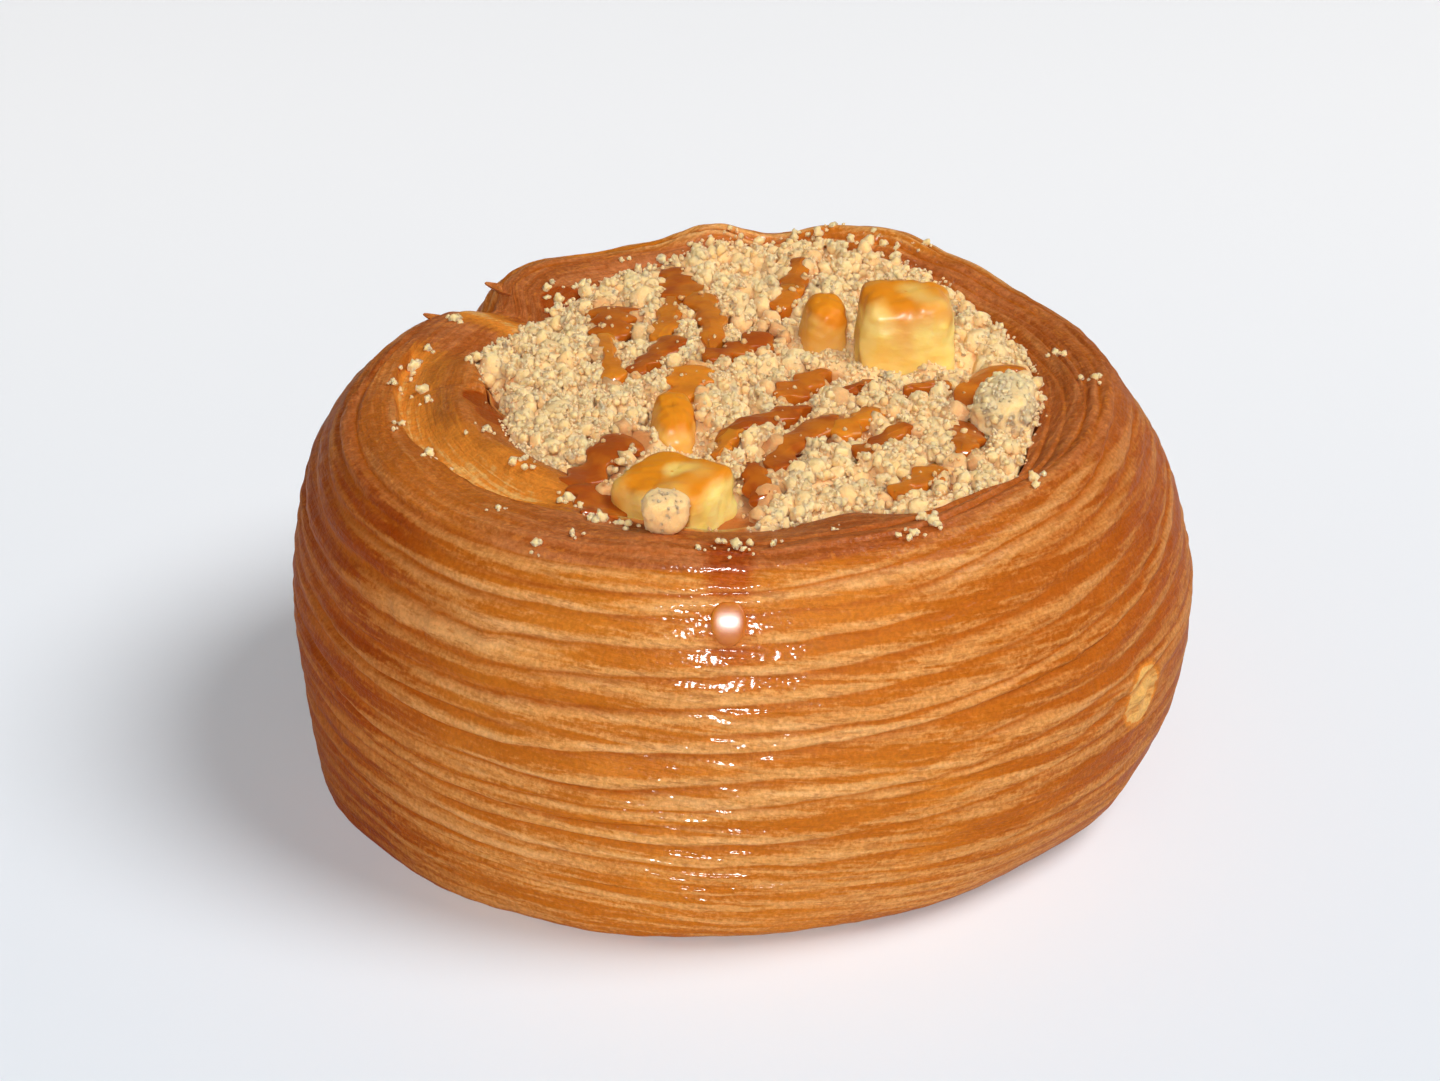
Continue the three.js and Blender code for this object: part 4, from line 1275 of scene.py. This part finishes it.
def make_core(settings):
    """The heap under the crumbs: rings from the bowl's floor up its wall, which keep a gap from it,
    then ever smaller ones at the height of core_height."""
    angle = np.arange(240) * 1.5
    edge, level = filling_radius(angle), rim_edge_height(angle)
    radius = [edge - BOWL_WALL * inward - HEAP_GAP for inward, _ in BOWL_SIDE[::-1]]
    height = [mix(level, BOWL_FLOOR, down) + HEAP_GAP for _, down in BOWL_SIDE[::-1]]
    for share in np.linspace(1, 0.02, 70):
        radius.append((edge - HEAP_GAP) * share)
        x, y = radius[-1] * np.cos(np.radians(angle)), radius[-1] * np.sin(np.radians(angle))
        height.append(core_height(x, y))
    rings = polar(angle[None] + 0 * np.array(radius), np.array(radius), np.array(height))
    top = float(core_height(np.zeros(1), np.zeros(1))[0])
    points, faces = closed_form(rings, [[0, 0, BOWL_FLOOR + HEAP_GAP]], [[0, 0, top]])
    x, y = points[:, 0], points[:, 1]
    wet = np.maximum(0.8 * (1 - smooth(near_stroke(x, y) / (1.0 * MM))), 1.6 * bare(x, y)).clip(0, 1)
    fields = {"tone": np.full(len(points), 0.55), "wet": wet}
    new_piece("crumble_core", points, faces, crumb_material(settings), fields, ["crumble"])


# Groups of crumbs on the rim, as x, y and the size of the largest, in millimetres.
LOOSE_CRUMBS = [
    (-36.8, -8.7, 0.55), (-33.3, -16.5, 0.7), (-32.3, -17.2, 0.45), (-38.5, 2.1, 0.5), (-38.0, 3.0, 0.35),
    (-21.0, -37.0, 0.6), (-14.6, -31.9, 0.85), (-15.6, -31.0, 0.5), (-9.2, -35.2, 0.5), (-4.6, -40.6, 0.45),
    (-0.8, -40.3, 0.75), (-0.1, -41.0, 0.4), (2.9, -39.9, 0.45), (17.0, -38.0, 0.6), (19.1, -35.8, 0.75),
    (18.0, -34.6, 0.6), (29.8, -26.6, 0.8), (31.0, -25.6, 0.5), (32.4, -4.3, 0.6), (34.6, 6.4, 0.65),
    (38.2, -2.2, 0.6), (36.8, -1.8, 0.4), (-33.1, 18.8, 0.7), (-35.6, 11.6, 0.6), (-37.0, 8.4, 0.8),
    (-36.9, 6.6, 0.5), (-35.4, 1.0, 0.9), (-34.6, -2.0, 0.5), (-29.8, 7.4, 0.8), (-27.4, -12.3, 0.5),
    (-24.2, -20.6, 0.7), (-22.9, -21.8, 0.5), (-18.2, -26.8, 0.8), (-16.8, -28.2, 0.6), (-11.8, -33.6, 0.6),
    (-13.0, -33.0, 0.4), (-21.4, 23.4, 0.9), (-22.8, 25.2, 0.7), (-18.8, 26.6, 1.0), (14.5, 33.3, 1.0),
    (12.6, 34.4, 0.8), (16.4, 32.4, 0.7), (18.0, 30.9, 0.8), (8.7, 36.2, 0.9), (6.0, 36.8, 0.7),
    (10.4, 36.6, 0.6), (1.7, 37.2, 0.9), (-0.4, 36.6, 0.8), (-4.0, 36.0, 0.9), (-5.6, 35.2, 0.7),
    (-2.2, 36.4, 0.6), (21.4, 32.0, 0.6), (-9.6, 33.4, 0.9), (-12.4, 31.6, 0.8), (-25.2, -29.8, 0.4),
    (-17.4, -36.0, 0.4), (9.0, -36.6, 0.35),
]


def make_loose_crumbs(settings):
    """Single crumbs on the rim: two to five smaller ones lie at normal distances round each place in
    the list. Outside the crest they follow the wall down, with the square of the way out."""
    rng = np.random.default_rng(9)
    spots = np.array(LOOSE_CRUMBS)
    count = rng.integers(2, 6, len(spots))
    middles = np.repeat(spots[:, :2], count, axis=0) + rng.normal(0, 0.75, (count.sum(), 2))
    sizes = np.repeat(spots[:, 2], count) * rng.uniform(0.35, 0.75, count.sum())
    x, y = np.append(spots[:, 0], middles[:, 0]) * MM, np.append(spots[:, 1], middles[:, 1]) * MM
    size = 0.75 * np.append(spots[:, 2], sizes) * MM
    angle, radius = np.degrees(np.arctan2(y, x)), np.hypot(x, y)
    crest = crest_radius(angle)
    over = np.clip(radius - crest, 0, None)
    height = rim_height(angle, np.minimum(radius, crest)) - 0.16 * over ** 2 / MM
    height = height + 0.45 * size
    tone = np.clip(rng.normal(0.75, 0.15, len(x)), 0, 1)
    points, faces, corners = crumb_meshes(rng, np.stack([x, y, height], 1), size, 1, 0.22)
    fields = {"tone": np.repeat(tone, corners), "wet": np.zeros(len(points))}
    new_piece("crumbs_loose", points, [faces], crumb_material(settings), fields)


# ---------------------------------------------------------------- caramel
def bead(base, normal, rise, sunk, turns, fullness=0.75):
    """A closed bead: each ring of base points is raised along the normal by rise in its upper half, as
    the sine of the turn to the power of fullness, and lowered by sunk in its lower half, as the sine;
    its ends close to points."""
    up = np.clip(np.sin(turns), 0, 1)[None, :, None] ** fullness
    down = np.clip(-np.sin(turns), 0, 1)[None, :, None]
    rings = base + normal * (rise[:, None, None] * up - sunk * down)
    return closed_form(rings[1:-1], rings[:1].mean(1), rings[-1:].mean(1))


STROKE_LIFT = 0.3 * MM
STROKE_REACH = 1.3
STROKE_SUNK = 1.3 * MM
STROKE_WOBBLE = 0.42
STROKE_RAGGED = 0.2 * MM
BEAD_TURNS = np.arange(28) * 2 * np.pi / 28


def longer(points, reach):
    """A line's points with its first and last one moved out along it by reach."""
    first, last = points[0] - points[1], points[-1] - points[-2]
    ends = [points[0] + reach * first / np.hypot(*first), points[-1] + reach * last / np.hypot(*last)]
    return np.vstack([ends[:1], points[1:-1], ends[1:]])


def stroke_form(points, width, thickness, bed, number):
    """One caramel stroke: a bead along a Catmull-Rom path, draped on the bed of crumbs. Its half width
    is a superellipse of the way along it times a product of two sines, and its edge is ragged by a
    sine of the way along and the turn round it."""
    path = smooth_path(longer(np.array(points, float), STROKE_REACH) * MM, 60)
    along = np.gradient(path, axis=0)
    along = along / np.linalg.norm(along, axis=1, keepdims=True)
    across = np.stack([-along[:, 1], along[:, 0]], 1)
    t = np.linspace(0, 1, len(path))
    full = np.sqrt(np.clip(1 - np.abs(2 * t - 1) ** mix(4, 9, number % 3 / 2), 0, 1))
    wobble = 1 + STROKE_WOBBLE * np.sin(4.2 * np.pi * t + 2 * number) * np.sin(2.3 * np.pi * t + number)
    half = 0.5 * width * MM * full * wobble
    shift = half[:, None] * np.cos(BEAD_TURNS)[None, :]
    ragged = STROKE_RAGGED * np.sin(path[:, :1] / MM * 2.6 + 5 * np.cos(BEAD_TURNS)[None, :] + number)
    x = path[:, :1] - across[:, :1] * (shift + ragged)
    y = path[:, 1:] - across[:, 1:] * (shift + ragged)
    base = np.stack([x, y, bed.at(x, y) + STROKE_LIFT], -1)
    return bead(base, UP, thickness * full, STROKE_SUNK, BEAD_TURNS)


def make_strokes(settings):
    """All caramel strokes as one piece: the beads of stroke_form, each with its own depth of colour."""
    bed = crumble_layout()["caramel bed"]
    parts, depths, start = [], [], 0
    for number, (width, depth, *points) in enumerate(STROKES):
        form, faces = stroke_form(points, width, settings.thickness, bed, number)
        parts.append((form, [part + start for part in faces]))
        depths.append(np.full(len(form), depth))
        start += len(form)
    points = np.vstack([form for form, _ in parts])
    faces = [np.vstack([faces[k] for _, faces in parts]) for k in range(3)]
    fields = {"depth": np.concatenate(depths)}
    new_piece("caramel_strokes", points, faces, caramel_material(settings), fields)


def make_drip(settings):
    """The drop that hangs at the foot of the run of caramel, as a bead down the wall: its half width is
    a circle's and its rise a power of a sine of the way down."""
    down = np.linspace(0, 1, 60)
    half = DROP_HALF * np.sqrt(np.clip(1 - (2 * down ** 0.9 - 1) ** 2, 0, 1))
    rise = DROP_RISE * np.sin(np.pi * down ** 1.1) ** 0.45
    column = int(round((DRIP_ANGLE % 360) / 360 * DOUGH_COLUMNS))
    lines = meridians()
    length = lines.crest[column] - mix(DROP_TOP, DROP_FOOT, down)
    r = np.interp(length, lines.length[column], lines.radius[column])
    z = np.interp(length, lines.length[column], lines.height[column])
    dr, dz = np.gradient(r), np.gradient(z)
    run = np.hypot(dr, dz)
    a = np.radians(DRIP_ANGLE)
    outward = np.array([np.cos(a), np.sin(a), 0.0])
    sideways = np.array([-np.sin(a), np.cos(a), 0.0])
    normal = UP * (dr / run)[:, None] - outward * (dz / run)[:, None]
    middle = outward * r[:, None] + UP * z[:, None]
    shift = half[:, None] * np.cos(BEAD_TURNS)[None, :]
    base = middle[:, None] + sideways * shift[..., None] + 0.1 * MM * normal[:, None]
    points, faces = bead(base, normal[:, None], rise, DROP_SUNK, BEAD_TURNS, 0.45)
    fields = {"depth": np.full(len(points), 0.6)}
    material = caramel_material(settings, "hanging drop", 0.6, 0.33, 0.0)
    new_piece("caramel_drop", points, faces, material, fields)


# The drop: half its width, its height, its depth in the wall, and how far below the crest it is.
DROP_HALF = 1.8 * MM
DROP_RISE = 0.5 * MM
DROP_SUNK = 0.8 * MM
DROP_TOP = 5.9 * MM
DROP_FOOT = 10.4 * MM
DRIP_ANGLE = -91.9


# ---------------------------------------------------------------- apple dice and lumps
def rounded_box(piece, power, columns=96, rows=64):
    """A box with rounded edges, from pole to pole: the direction at each longitude and latitude is
    cut to length 1 by the norm of that power. Its top is taper times as wide as its foot."""
    longitude = np.arange(columns) * 2 * np.pi / columns
    latitude = np.linspace(-0.5, 0.5, rows + 2)[1:-1, None] * np.pi
    direction = np.stack([
        np.cos(latitude) * np.cos(longitude),
        np.cos(latitude) * np.sin(longitude),
        np.sin(latitude) + 0 * longitude,
    ], -1)
    reach = (np.abs(direction) ** power).sum(-1, keepdims=True) ** (1 / power)
    unit = direction / reach / 2
    lean = 1 + (piece.taper - 1) * (unit[..., 2:] + 0.5)
    return unit * np.concatenate([lean, lean, 1 + 0 * lean], -1) * np.array(piece.size)


def slow_waves(points, seed, pitch, count=14):
    """Unevenness of about -1 to 1 at points in space: a sum of waves in random directions."""
    rng = np.random.default_rng(seed)
    total = 0
    for _ in range(count):
        heading = rng.normal(size=3)
        heading *= 2 * np.pi / pitch / np.linalg.norm(heading) / rng.uniform(0.7, 1.4)
        total = total + np.sin(points @ heading + rng.uniform(0, 2 * np.pi))
    return total / np.sqrt(count)


def capped(rings):
    """Points and faces of rings closed by poles in the middle of the first and the last."""
    return closed_form(rings, rings[:1].mean(1), rings[-1:].mean(1))


def placed(points, piece):
    """A topping's points, in millimetres round its middle, turned and moved to its place."""
    return (turned(points, piece.turn) + np.array(piece.at)) * MM


def make_dice(settings):
    """The apple dice: rounded boxes whose reach from the middle is raised by 3 % of slow waves, with a
    finer unevenness of 0.05 mm, then turned and set at their places. Glaze covers their tops."""
    material = apple_material(settings)
    for n, (name, piece) in enumerate(DICE.items()):
        power, soaked, left_glaze_and_shade = DICE_LOOK[name]
        rings = rounded_box(piece, power)
        rings = rings * (1 + 0.03 * slow_waves(rings, 50 + n, 5.0)[..., None])
        rings = rings + 0.05 * slow_waves(rings, 70 + n, 1.6)[..., None] * np.sign(rings)
        height = rings[..., 2] / piece.size[2] + 0.5
        glaze = smooth((height - 0.68 + 0.14 * slow_waves(rings, 90 + n, 6.0)) / 0.32)
        # The left face takes the glaze colour: partly caramel, partly painted shade on the side away from the
        # light.
        left = smooth(0.5 - 4 * rings[..., 0] / piece.size[0]) * left_glaze_and_shade
        glaze = np.clip(glaze * (0.95 + 0.2 * slow_waves(rings, 95 + n, 4.0)) + soaked + left, 0, 1)
        points, faces = capped(rings)
        fields = {"glaze": np.append(glaze.ravel(), [soaked, 1])}
        new_piece(name + "_cut", placed(points, piece), faces, material, fields, [name])


# How square a dice is, as the power of its form, how far caramel has soaked all its sides, and how far
# its left face takes the glaze colour: partly caramel, partly painted shade away from the key light.
DICE_LOOK = {
    "apple_dice_front": (5.6, 0.0, 0.3),
    "apple_dice_back": (5.6, 0.0, 0.12),
    "apple_dice_side": (3.2, 0.6, 0.0),
    "apple_dice_middle": (3.0, 0.6, 0.0),
}


def make_lumps(settings):
    """Large lumps of crumble: a rounded box whose reach from its middle is raised and lowered by slow
    waves, studded with small crumbs at random points of its surface."""
    material = crumb_material(settings)
    for n, (name, piece) in enumerate(LUMPS.items()):
        rng = np.random.default_rng(40 + n)
        count, largest, tone = LUMP_LOOK[name]
        rings = rounded_box(piece, LUMP_POWER)
        knobs = 0.06 * slow_waves(rings, 5 + n, 3.4) + 0.025 * slow_waves(rings, 15 + n, 1.4)
        rings = rings * (1 + knobs[..., None])
        points, faces = capped(rings)
        studs = rings.reshape(-1, 3)[rng.integers(0, rings.shape[0] * rings.shape[1], count)] * 0.97
        sizes = mix(0.14, largest, rng.uniform(0, 1, count) ** 2.2)
        crumbs, triangles, corners = crumb_meshes(rng, studs, sizes, 1, 0.16)
        tones = tone + np.append(np.zeros(len(points)), np.repeat(rng.normal(0, 0.12, count), corners))
        faces = [*faces, triangles + len(points)]
        points = placed(np.vstack([points, crumbs]), piece)
        fields = {"tone": np.clip(tones, 0, 1), "wet": np.zeros(len(points))}
        new_piece(name + "_rough", points, faces, material, fields, [name])


LUMP_POWER = 2.8
# How many crumbs stud a lump, the radius of the largest in millimetres, and the lump's tone.
LUMP_LOOK = {"crumble_clump": (320, 0.55, 0.85), "crumble_ball": (60, 0.2, 0.4)}


# ---------------------------------------------------------------- stage
def make_stage(settings):
    """A pale floor, soft light and the camera."""
    scene = bpy.context.scene
    scene.view_settings.view_transform = "Standard"
    make_floor(settings)
    scene.world = bpy.data.worlds.new("studio")
    scene.world.use_nodes = True
    background = scene.world.node_tree.nodes["Background"]
    background.inputs["Color"].default_value = (1.0, 1.0, 1.0, 1.0)
    background.inputs["Strength"].default_value = settings.ambient
    for name, (size, place) in LIGHTS.items():
        light = add_light(name, getattr(settings, name), size, place)
        light.visible_diffuse = name != "glint"
    scene.camera = make_camera()


def make_floor(settings):
    """A square floor, a little darker before the pastry than behind it: painted shade that evens out the
    stronger light the lamps throw on the floor in front.
    """
    corners = [(-FLOOR_HALF, -FLOOR_HALF, 0), (FLOOR_HALF, -FLOOR_HALF, 0),
               (FLOOR_HALF, FLOOR_HALF, 0), (-FLOOR_HALF, FLOOR_HALF, 0)]
    mesh = bpy.data.meshes.new("floor")
    mesh.from_pydata(corners, [], [(0, 1, 2, 3)])
    shading = Shading("pale floor")
    depth = shading.add("ShaderNodeSeparateXYZ", {"Vector": shading.place()}).outputs["Y"]
    # Painted shade: the floor is darker in front, where the lamps light it more.
    base = shading.blend(shading.range(depth, *FLOOR_SWEEP), settings.floor_front, settings.floor)
    shading.set(base_color=base, roughness=0.7, specular_ior_level=0.1)
    mesh.materials.append(shading.material)
    floor = bpy.data.objects.new("floor", mesh)
    bpy.context.scene.collection.objects.link(floor)


def make_camera():
    """The camera that the photo was taken with, worked out from the pastry's outline."""
    data = bpy.data.cameras.new("camera")
    data.sensor_width = 36.0
    data.lens = CAMERA_FOCUS_PX * data.sensor_width / PHOTO_WIDTH
    data.shift_x = (PHOTO_WIDTH / 2 - CAMERA_CENTRE_PX[0]) / PHOTO_WIDTH
    data.shift_y = (CAMERA_CENTRE_PX[1] - PHOTO_HEIGHT / 2) / PHOTO_WIDTH
    camera = bpy.data.objects.new("camera", data)
    tilt = np.radians(CAMERA_ELEVATION)
    aim = Vector((0, 0, CAMERA_AIM_HEIGHT))
    camera.location = aim + CAMERA_DISTANCE * Vector((0, -np.cos(tilt), np.sin(tilt)))
    camera.rotation_euler = (np.pi / 2 - tilt, 0, 0)
    bpy.context.scene.collection.objects.link(camera)
    return camera


PHOTO_WIDTH = 1440
PHOTO_HEIGHT = 1081
CAMERA_ELEVATION = 27.1
CAMERA_DISTANCE = 420 * MM
CAMERA_AIM_HEIGHT = 22 * MM
CAMERA_FOCUS_PX = 3742
CAMERA_CENTRE_PX = (743.9, 556.4)
FLOOR_HALF = 3.0
FLOOR_SWEEP = (-0.12, 0.22)
# Width and place of each light. The glint only shows in gloss.
LIGHTS = {
    "key": (2.8, (2.9, -0.6, 4.1)),
    "flash": (0.48, (-0.18, -3.46, 2.0)),
    "glint": (0.62, (-0.18, -3.41, 2.08)),
}
LIGHT_AIM = (0, 0, 0.025)


def add_light(name, power, size, place):
    """A round area light at a place, turned to the pastry, as an object."""
    data = bpy.data.lights.new(name, "AREA")
    data.shape = "DISK"
    data.size = size
    data.energy = power
    light = bpy.data.objects.new(name, data)
    light.location = place
    light.rotation_euler = (Vector(LIGHT_AIM) - Vector(place)).to_track_quat("-Z", "Y").to_euler()
    bpy.context.scene.collection.objects.link(light)
    return light


# ---------------------------------------------------------------- settings
def tint(name, default):
    """A colour setting."""
    return FloatVectorProperty(name=name, description=f"Colour of {name.lower()}", default=default,
                               subtype="COLOR", size=3, min=0.0, max=1.0)


class DoughSettings(PropertyGroup):
    """Relief and colours of the dough"""

    ridge_depth: FloatProperty(name="Ridge depth", description="From the lip of a layer to its groove",
                               default=RIDGE_DEPTH, unit="LENGTH")
    deep: tint("Smooth recessed dough", (0.53, 0.15, 0.009))
    gold: tint("Raised bands", (0.71, 0.325, 0.088))
    pale: tint("Palest flaky bands", (0.80, 0.42, 0.15))
    # Painted shade: the sides are multiplied by this colour where less light reaches them.
    side_shade_tint: tint("Darker bake of the sides", (0.50, 0.24, 0.04))
    amber: tint("Golden patches", (0.66, 0.22, 0.02))
    crest: tint("Browned crest", (0.35, 0.085, 0.014))
    crest_light: tint("Lighter mottling of the crest", (0.50, 0.165, 0.05))
    face: tint("Brown side of the cut face", (0.52, 0.16, 0.018))
    cut: tint("Golden cut face", (0.69, 0.225, 0.026))
    flake: tint("Palest torn dough", (0.76, 0.43, 0.125))
    # Painted shade in the grooves and in the splits between layers.
    groove: tint("Grooves", (0.40, 0.09, 0.005))
    fleck: tint("Brown flecks", (0.38, 0.11, 0.015))
    syrup: tint("Dough soaked with caramel", (0.30, 0.06, 0.006))
    run: tint("Dough under a thin run of caramel", (0.74, 0.42, 0.14))


class CrumbleSettings(PropertyGroup):
    """Colours of the crumble"""

    cream: tint("Palest crumbs", (0.98, 0.635, 0.30))
    brown: tint("Brownest crumbs", (0.95, 0.53, 0.205))
    wet: tint("Crumbs wetted by caramel", (0.46, 0.13, 0.015))


class CaramelSettings(PropertyGroup):
    """Thickness and colours of the caramel"""

    thickness: FloatProperty(name="Thickness", description="Height of a caramel stroke over the crumbs",
                             default=0.5 * MM, unit="LENGTH")
    deep: tint("Thick caramel", (0.36, 0.07, 0.005))
    thin: tint("Thin caramel", (0.70, 0.23, 0.015))


class AppleSettings(PropertyGroup):
    """Colours of the apple dice"""

    flesh: tint("Apple flesh", (0.95, 0.79, 0.28))
    deep_flesh: tint("Deeper apple flesh", (0.92, 0.67, 0.17))
    gold_flesh: tint("Golden apple flesh", (0.88, 0.54, 0.095))
    glaze: tint("Caramel glaze on the apple", (0.72, 0.24, 0.010))


class StageSettings(PropertyGroup):
    """Colour of the floor and strength of the lights"""

    floor: tint("Floor", (0.96, 0.965, 0.98))
    # Painted shade: darker where the lamps light the floor more strongly.
    floor_front: tint("Floor before the pastry", (0.8, 0.845, 0.9))
    ambient: FloatProperty(name="Ambient", description="Strength of the white surroundings", default=0.12)
    key: FloatProperty(name="Key light", description="Soft light from the right", default=180.0, unit="POWER")
    flash: FloatProperty(name="Flash", description="Light over the camera", default=100.0, unit="POWER")
    glint: FloatProperty(name="Glint", description="Light over the camera that only shows in gloss",
                         default=560.0, unit="POWER")


# ---------------------------------------------------------------- operators
class DoughOperator(Operator):
    """Builds the laminated dough"""

    bl_idname = "danish.dough"
    bl_label = "Dough"

    def execute(self, context):
        make_dough(context.scene.danish_dough)
        make_flakes(context.scene.danish_dough)
        return {"FINISHED"}


class CrumbleOperator(Operator):
    """Builds the heap of crumble and its large lumps"""

    bl_idname = "danish.crumble"
    bl_label = "Crumble"

    def execute(self, context):
        make_core(context.scene.danish_crumble)
        make_crumbs(context.scene.danish_crumble)
        make_loose_crumbs(context.scene.danish_crumble)
        make_lumps(context.scene.danish_crumble)
        return {"FINISHED"}


class CaramelOperator(Operator):
    """Lays the caramel strokes and the drip"""

    bl_idname = "danish.caramel"
    bl_label = "Caramel"

    def execute(self, context):
        make_strokes(context.scene.danish_caramel)
        make_drip(context.scene.danish_caramel)
        return {"FINISHED"}


class AppleOperator(Operator):
    """Builds the glazed apple dice"""

    bl_idname = "danish.apple"
    bl_label = "Apple dice"

    def execute(self, context):
        make_dice(context.scene.danish_apple)
        return {"FINISHED"}


class StageOperator(Operator):
    """Adds the floor, the light and the camera"""

    bl_idname = "danish.stage"
    bl_label = "Stage"

    def execute(self, context):
        make_stage(context.scene.danish_stage)
        return {"FINISHED"}


class DanishPanel(Panel):
    """Lists the steps that build the danish"""

    bl_idname = "VIEW3D_PT_danish"
    bl_label = "Danish"
    bl_space_type = "VIEW_3D"
    bl_region_type = "UI"
    bl_category = "Danish"

    def draw(self, context):
        for step in OPERATORS:
            self.layout.operator(step.bl_idname)


SETTINGS = {
    "danish_dough": DoughSettings,
    "danish_crumble": CrumbleSettings,
    "danish_caramel": CaramelSettings,
    "danish_apple": AppleSettings,
    "danish_stage": StageSettings,
}
OPERATORS = [DoughOperator, CrumbleOperator, CaramelOperator, AppleOperator, StageOperator]


def register():
    """Adds the settings, the operators and the panel to Blender."""
    for kind in [*SETTINGS.values(), *OPERATORS, DanishPanel]:
        bpy.utils.register_class(kind)
    for name, kind in SETTINGS.items():
        setattr(bpy.types.Scene, name, PointerProperty(type=kind))


def unregister():
    """Takes them out again."""
    for name in SETTINGS:
        delattr(bpy.types.Scene, name)
    for kind in [DanishPanel, *OPERATORS, *SETTINGS.values()]:
        bpy.utils.unregister_class(kind)


def main():
    """Builds every piece."""
    register()
    bpy.ops.danish.dough()
    bpy.ops.danish.crumble()
    bpy.ops.danish.caramel()
    bpy.ops.danish.apple()
    bpy.ops.danish.stage()


if __name__ == "__main__":
    main()
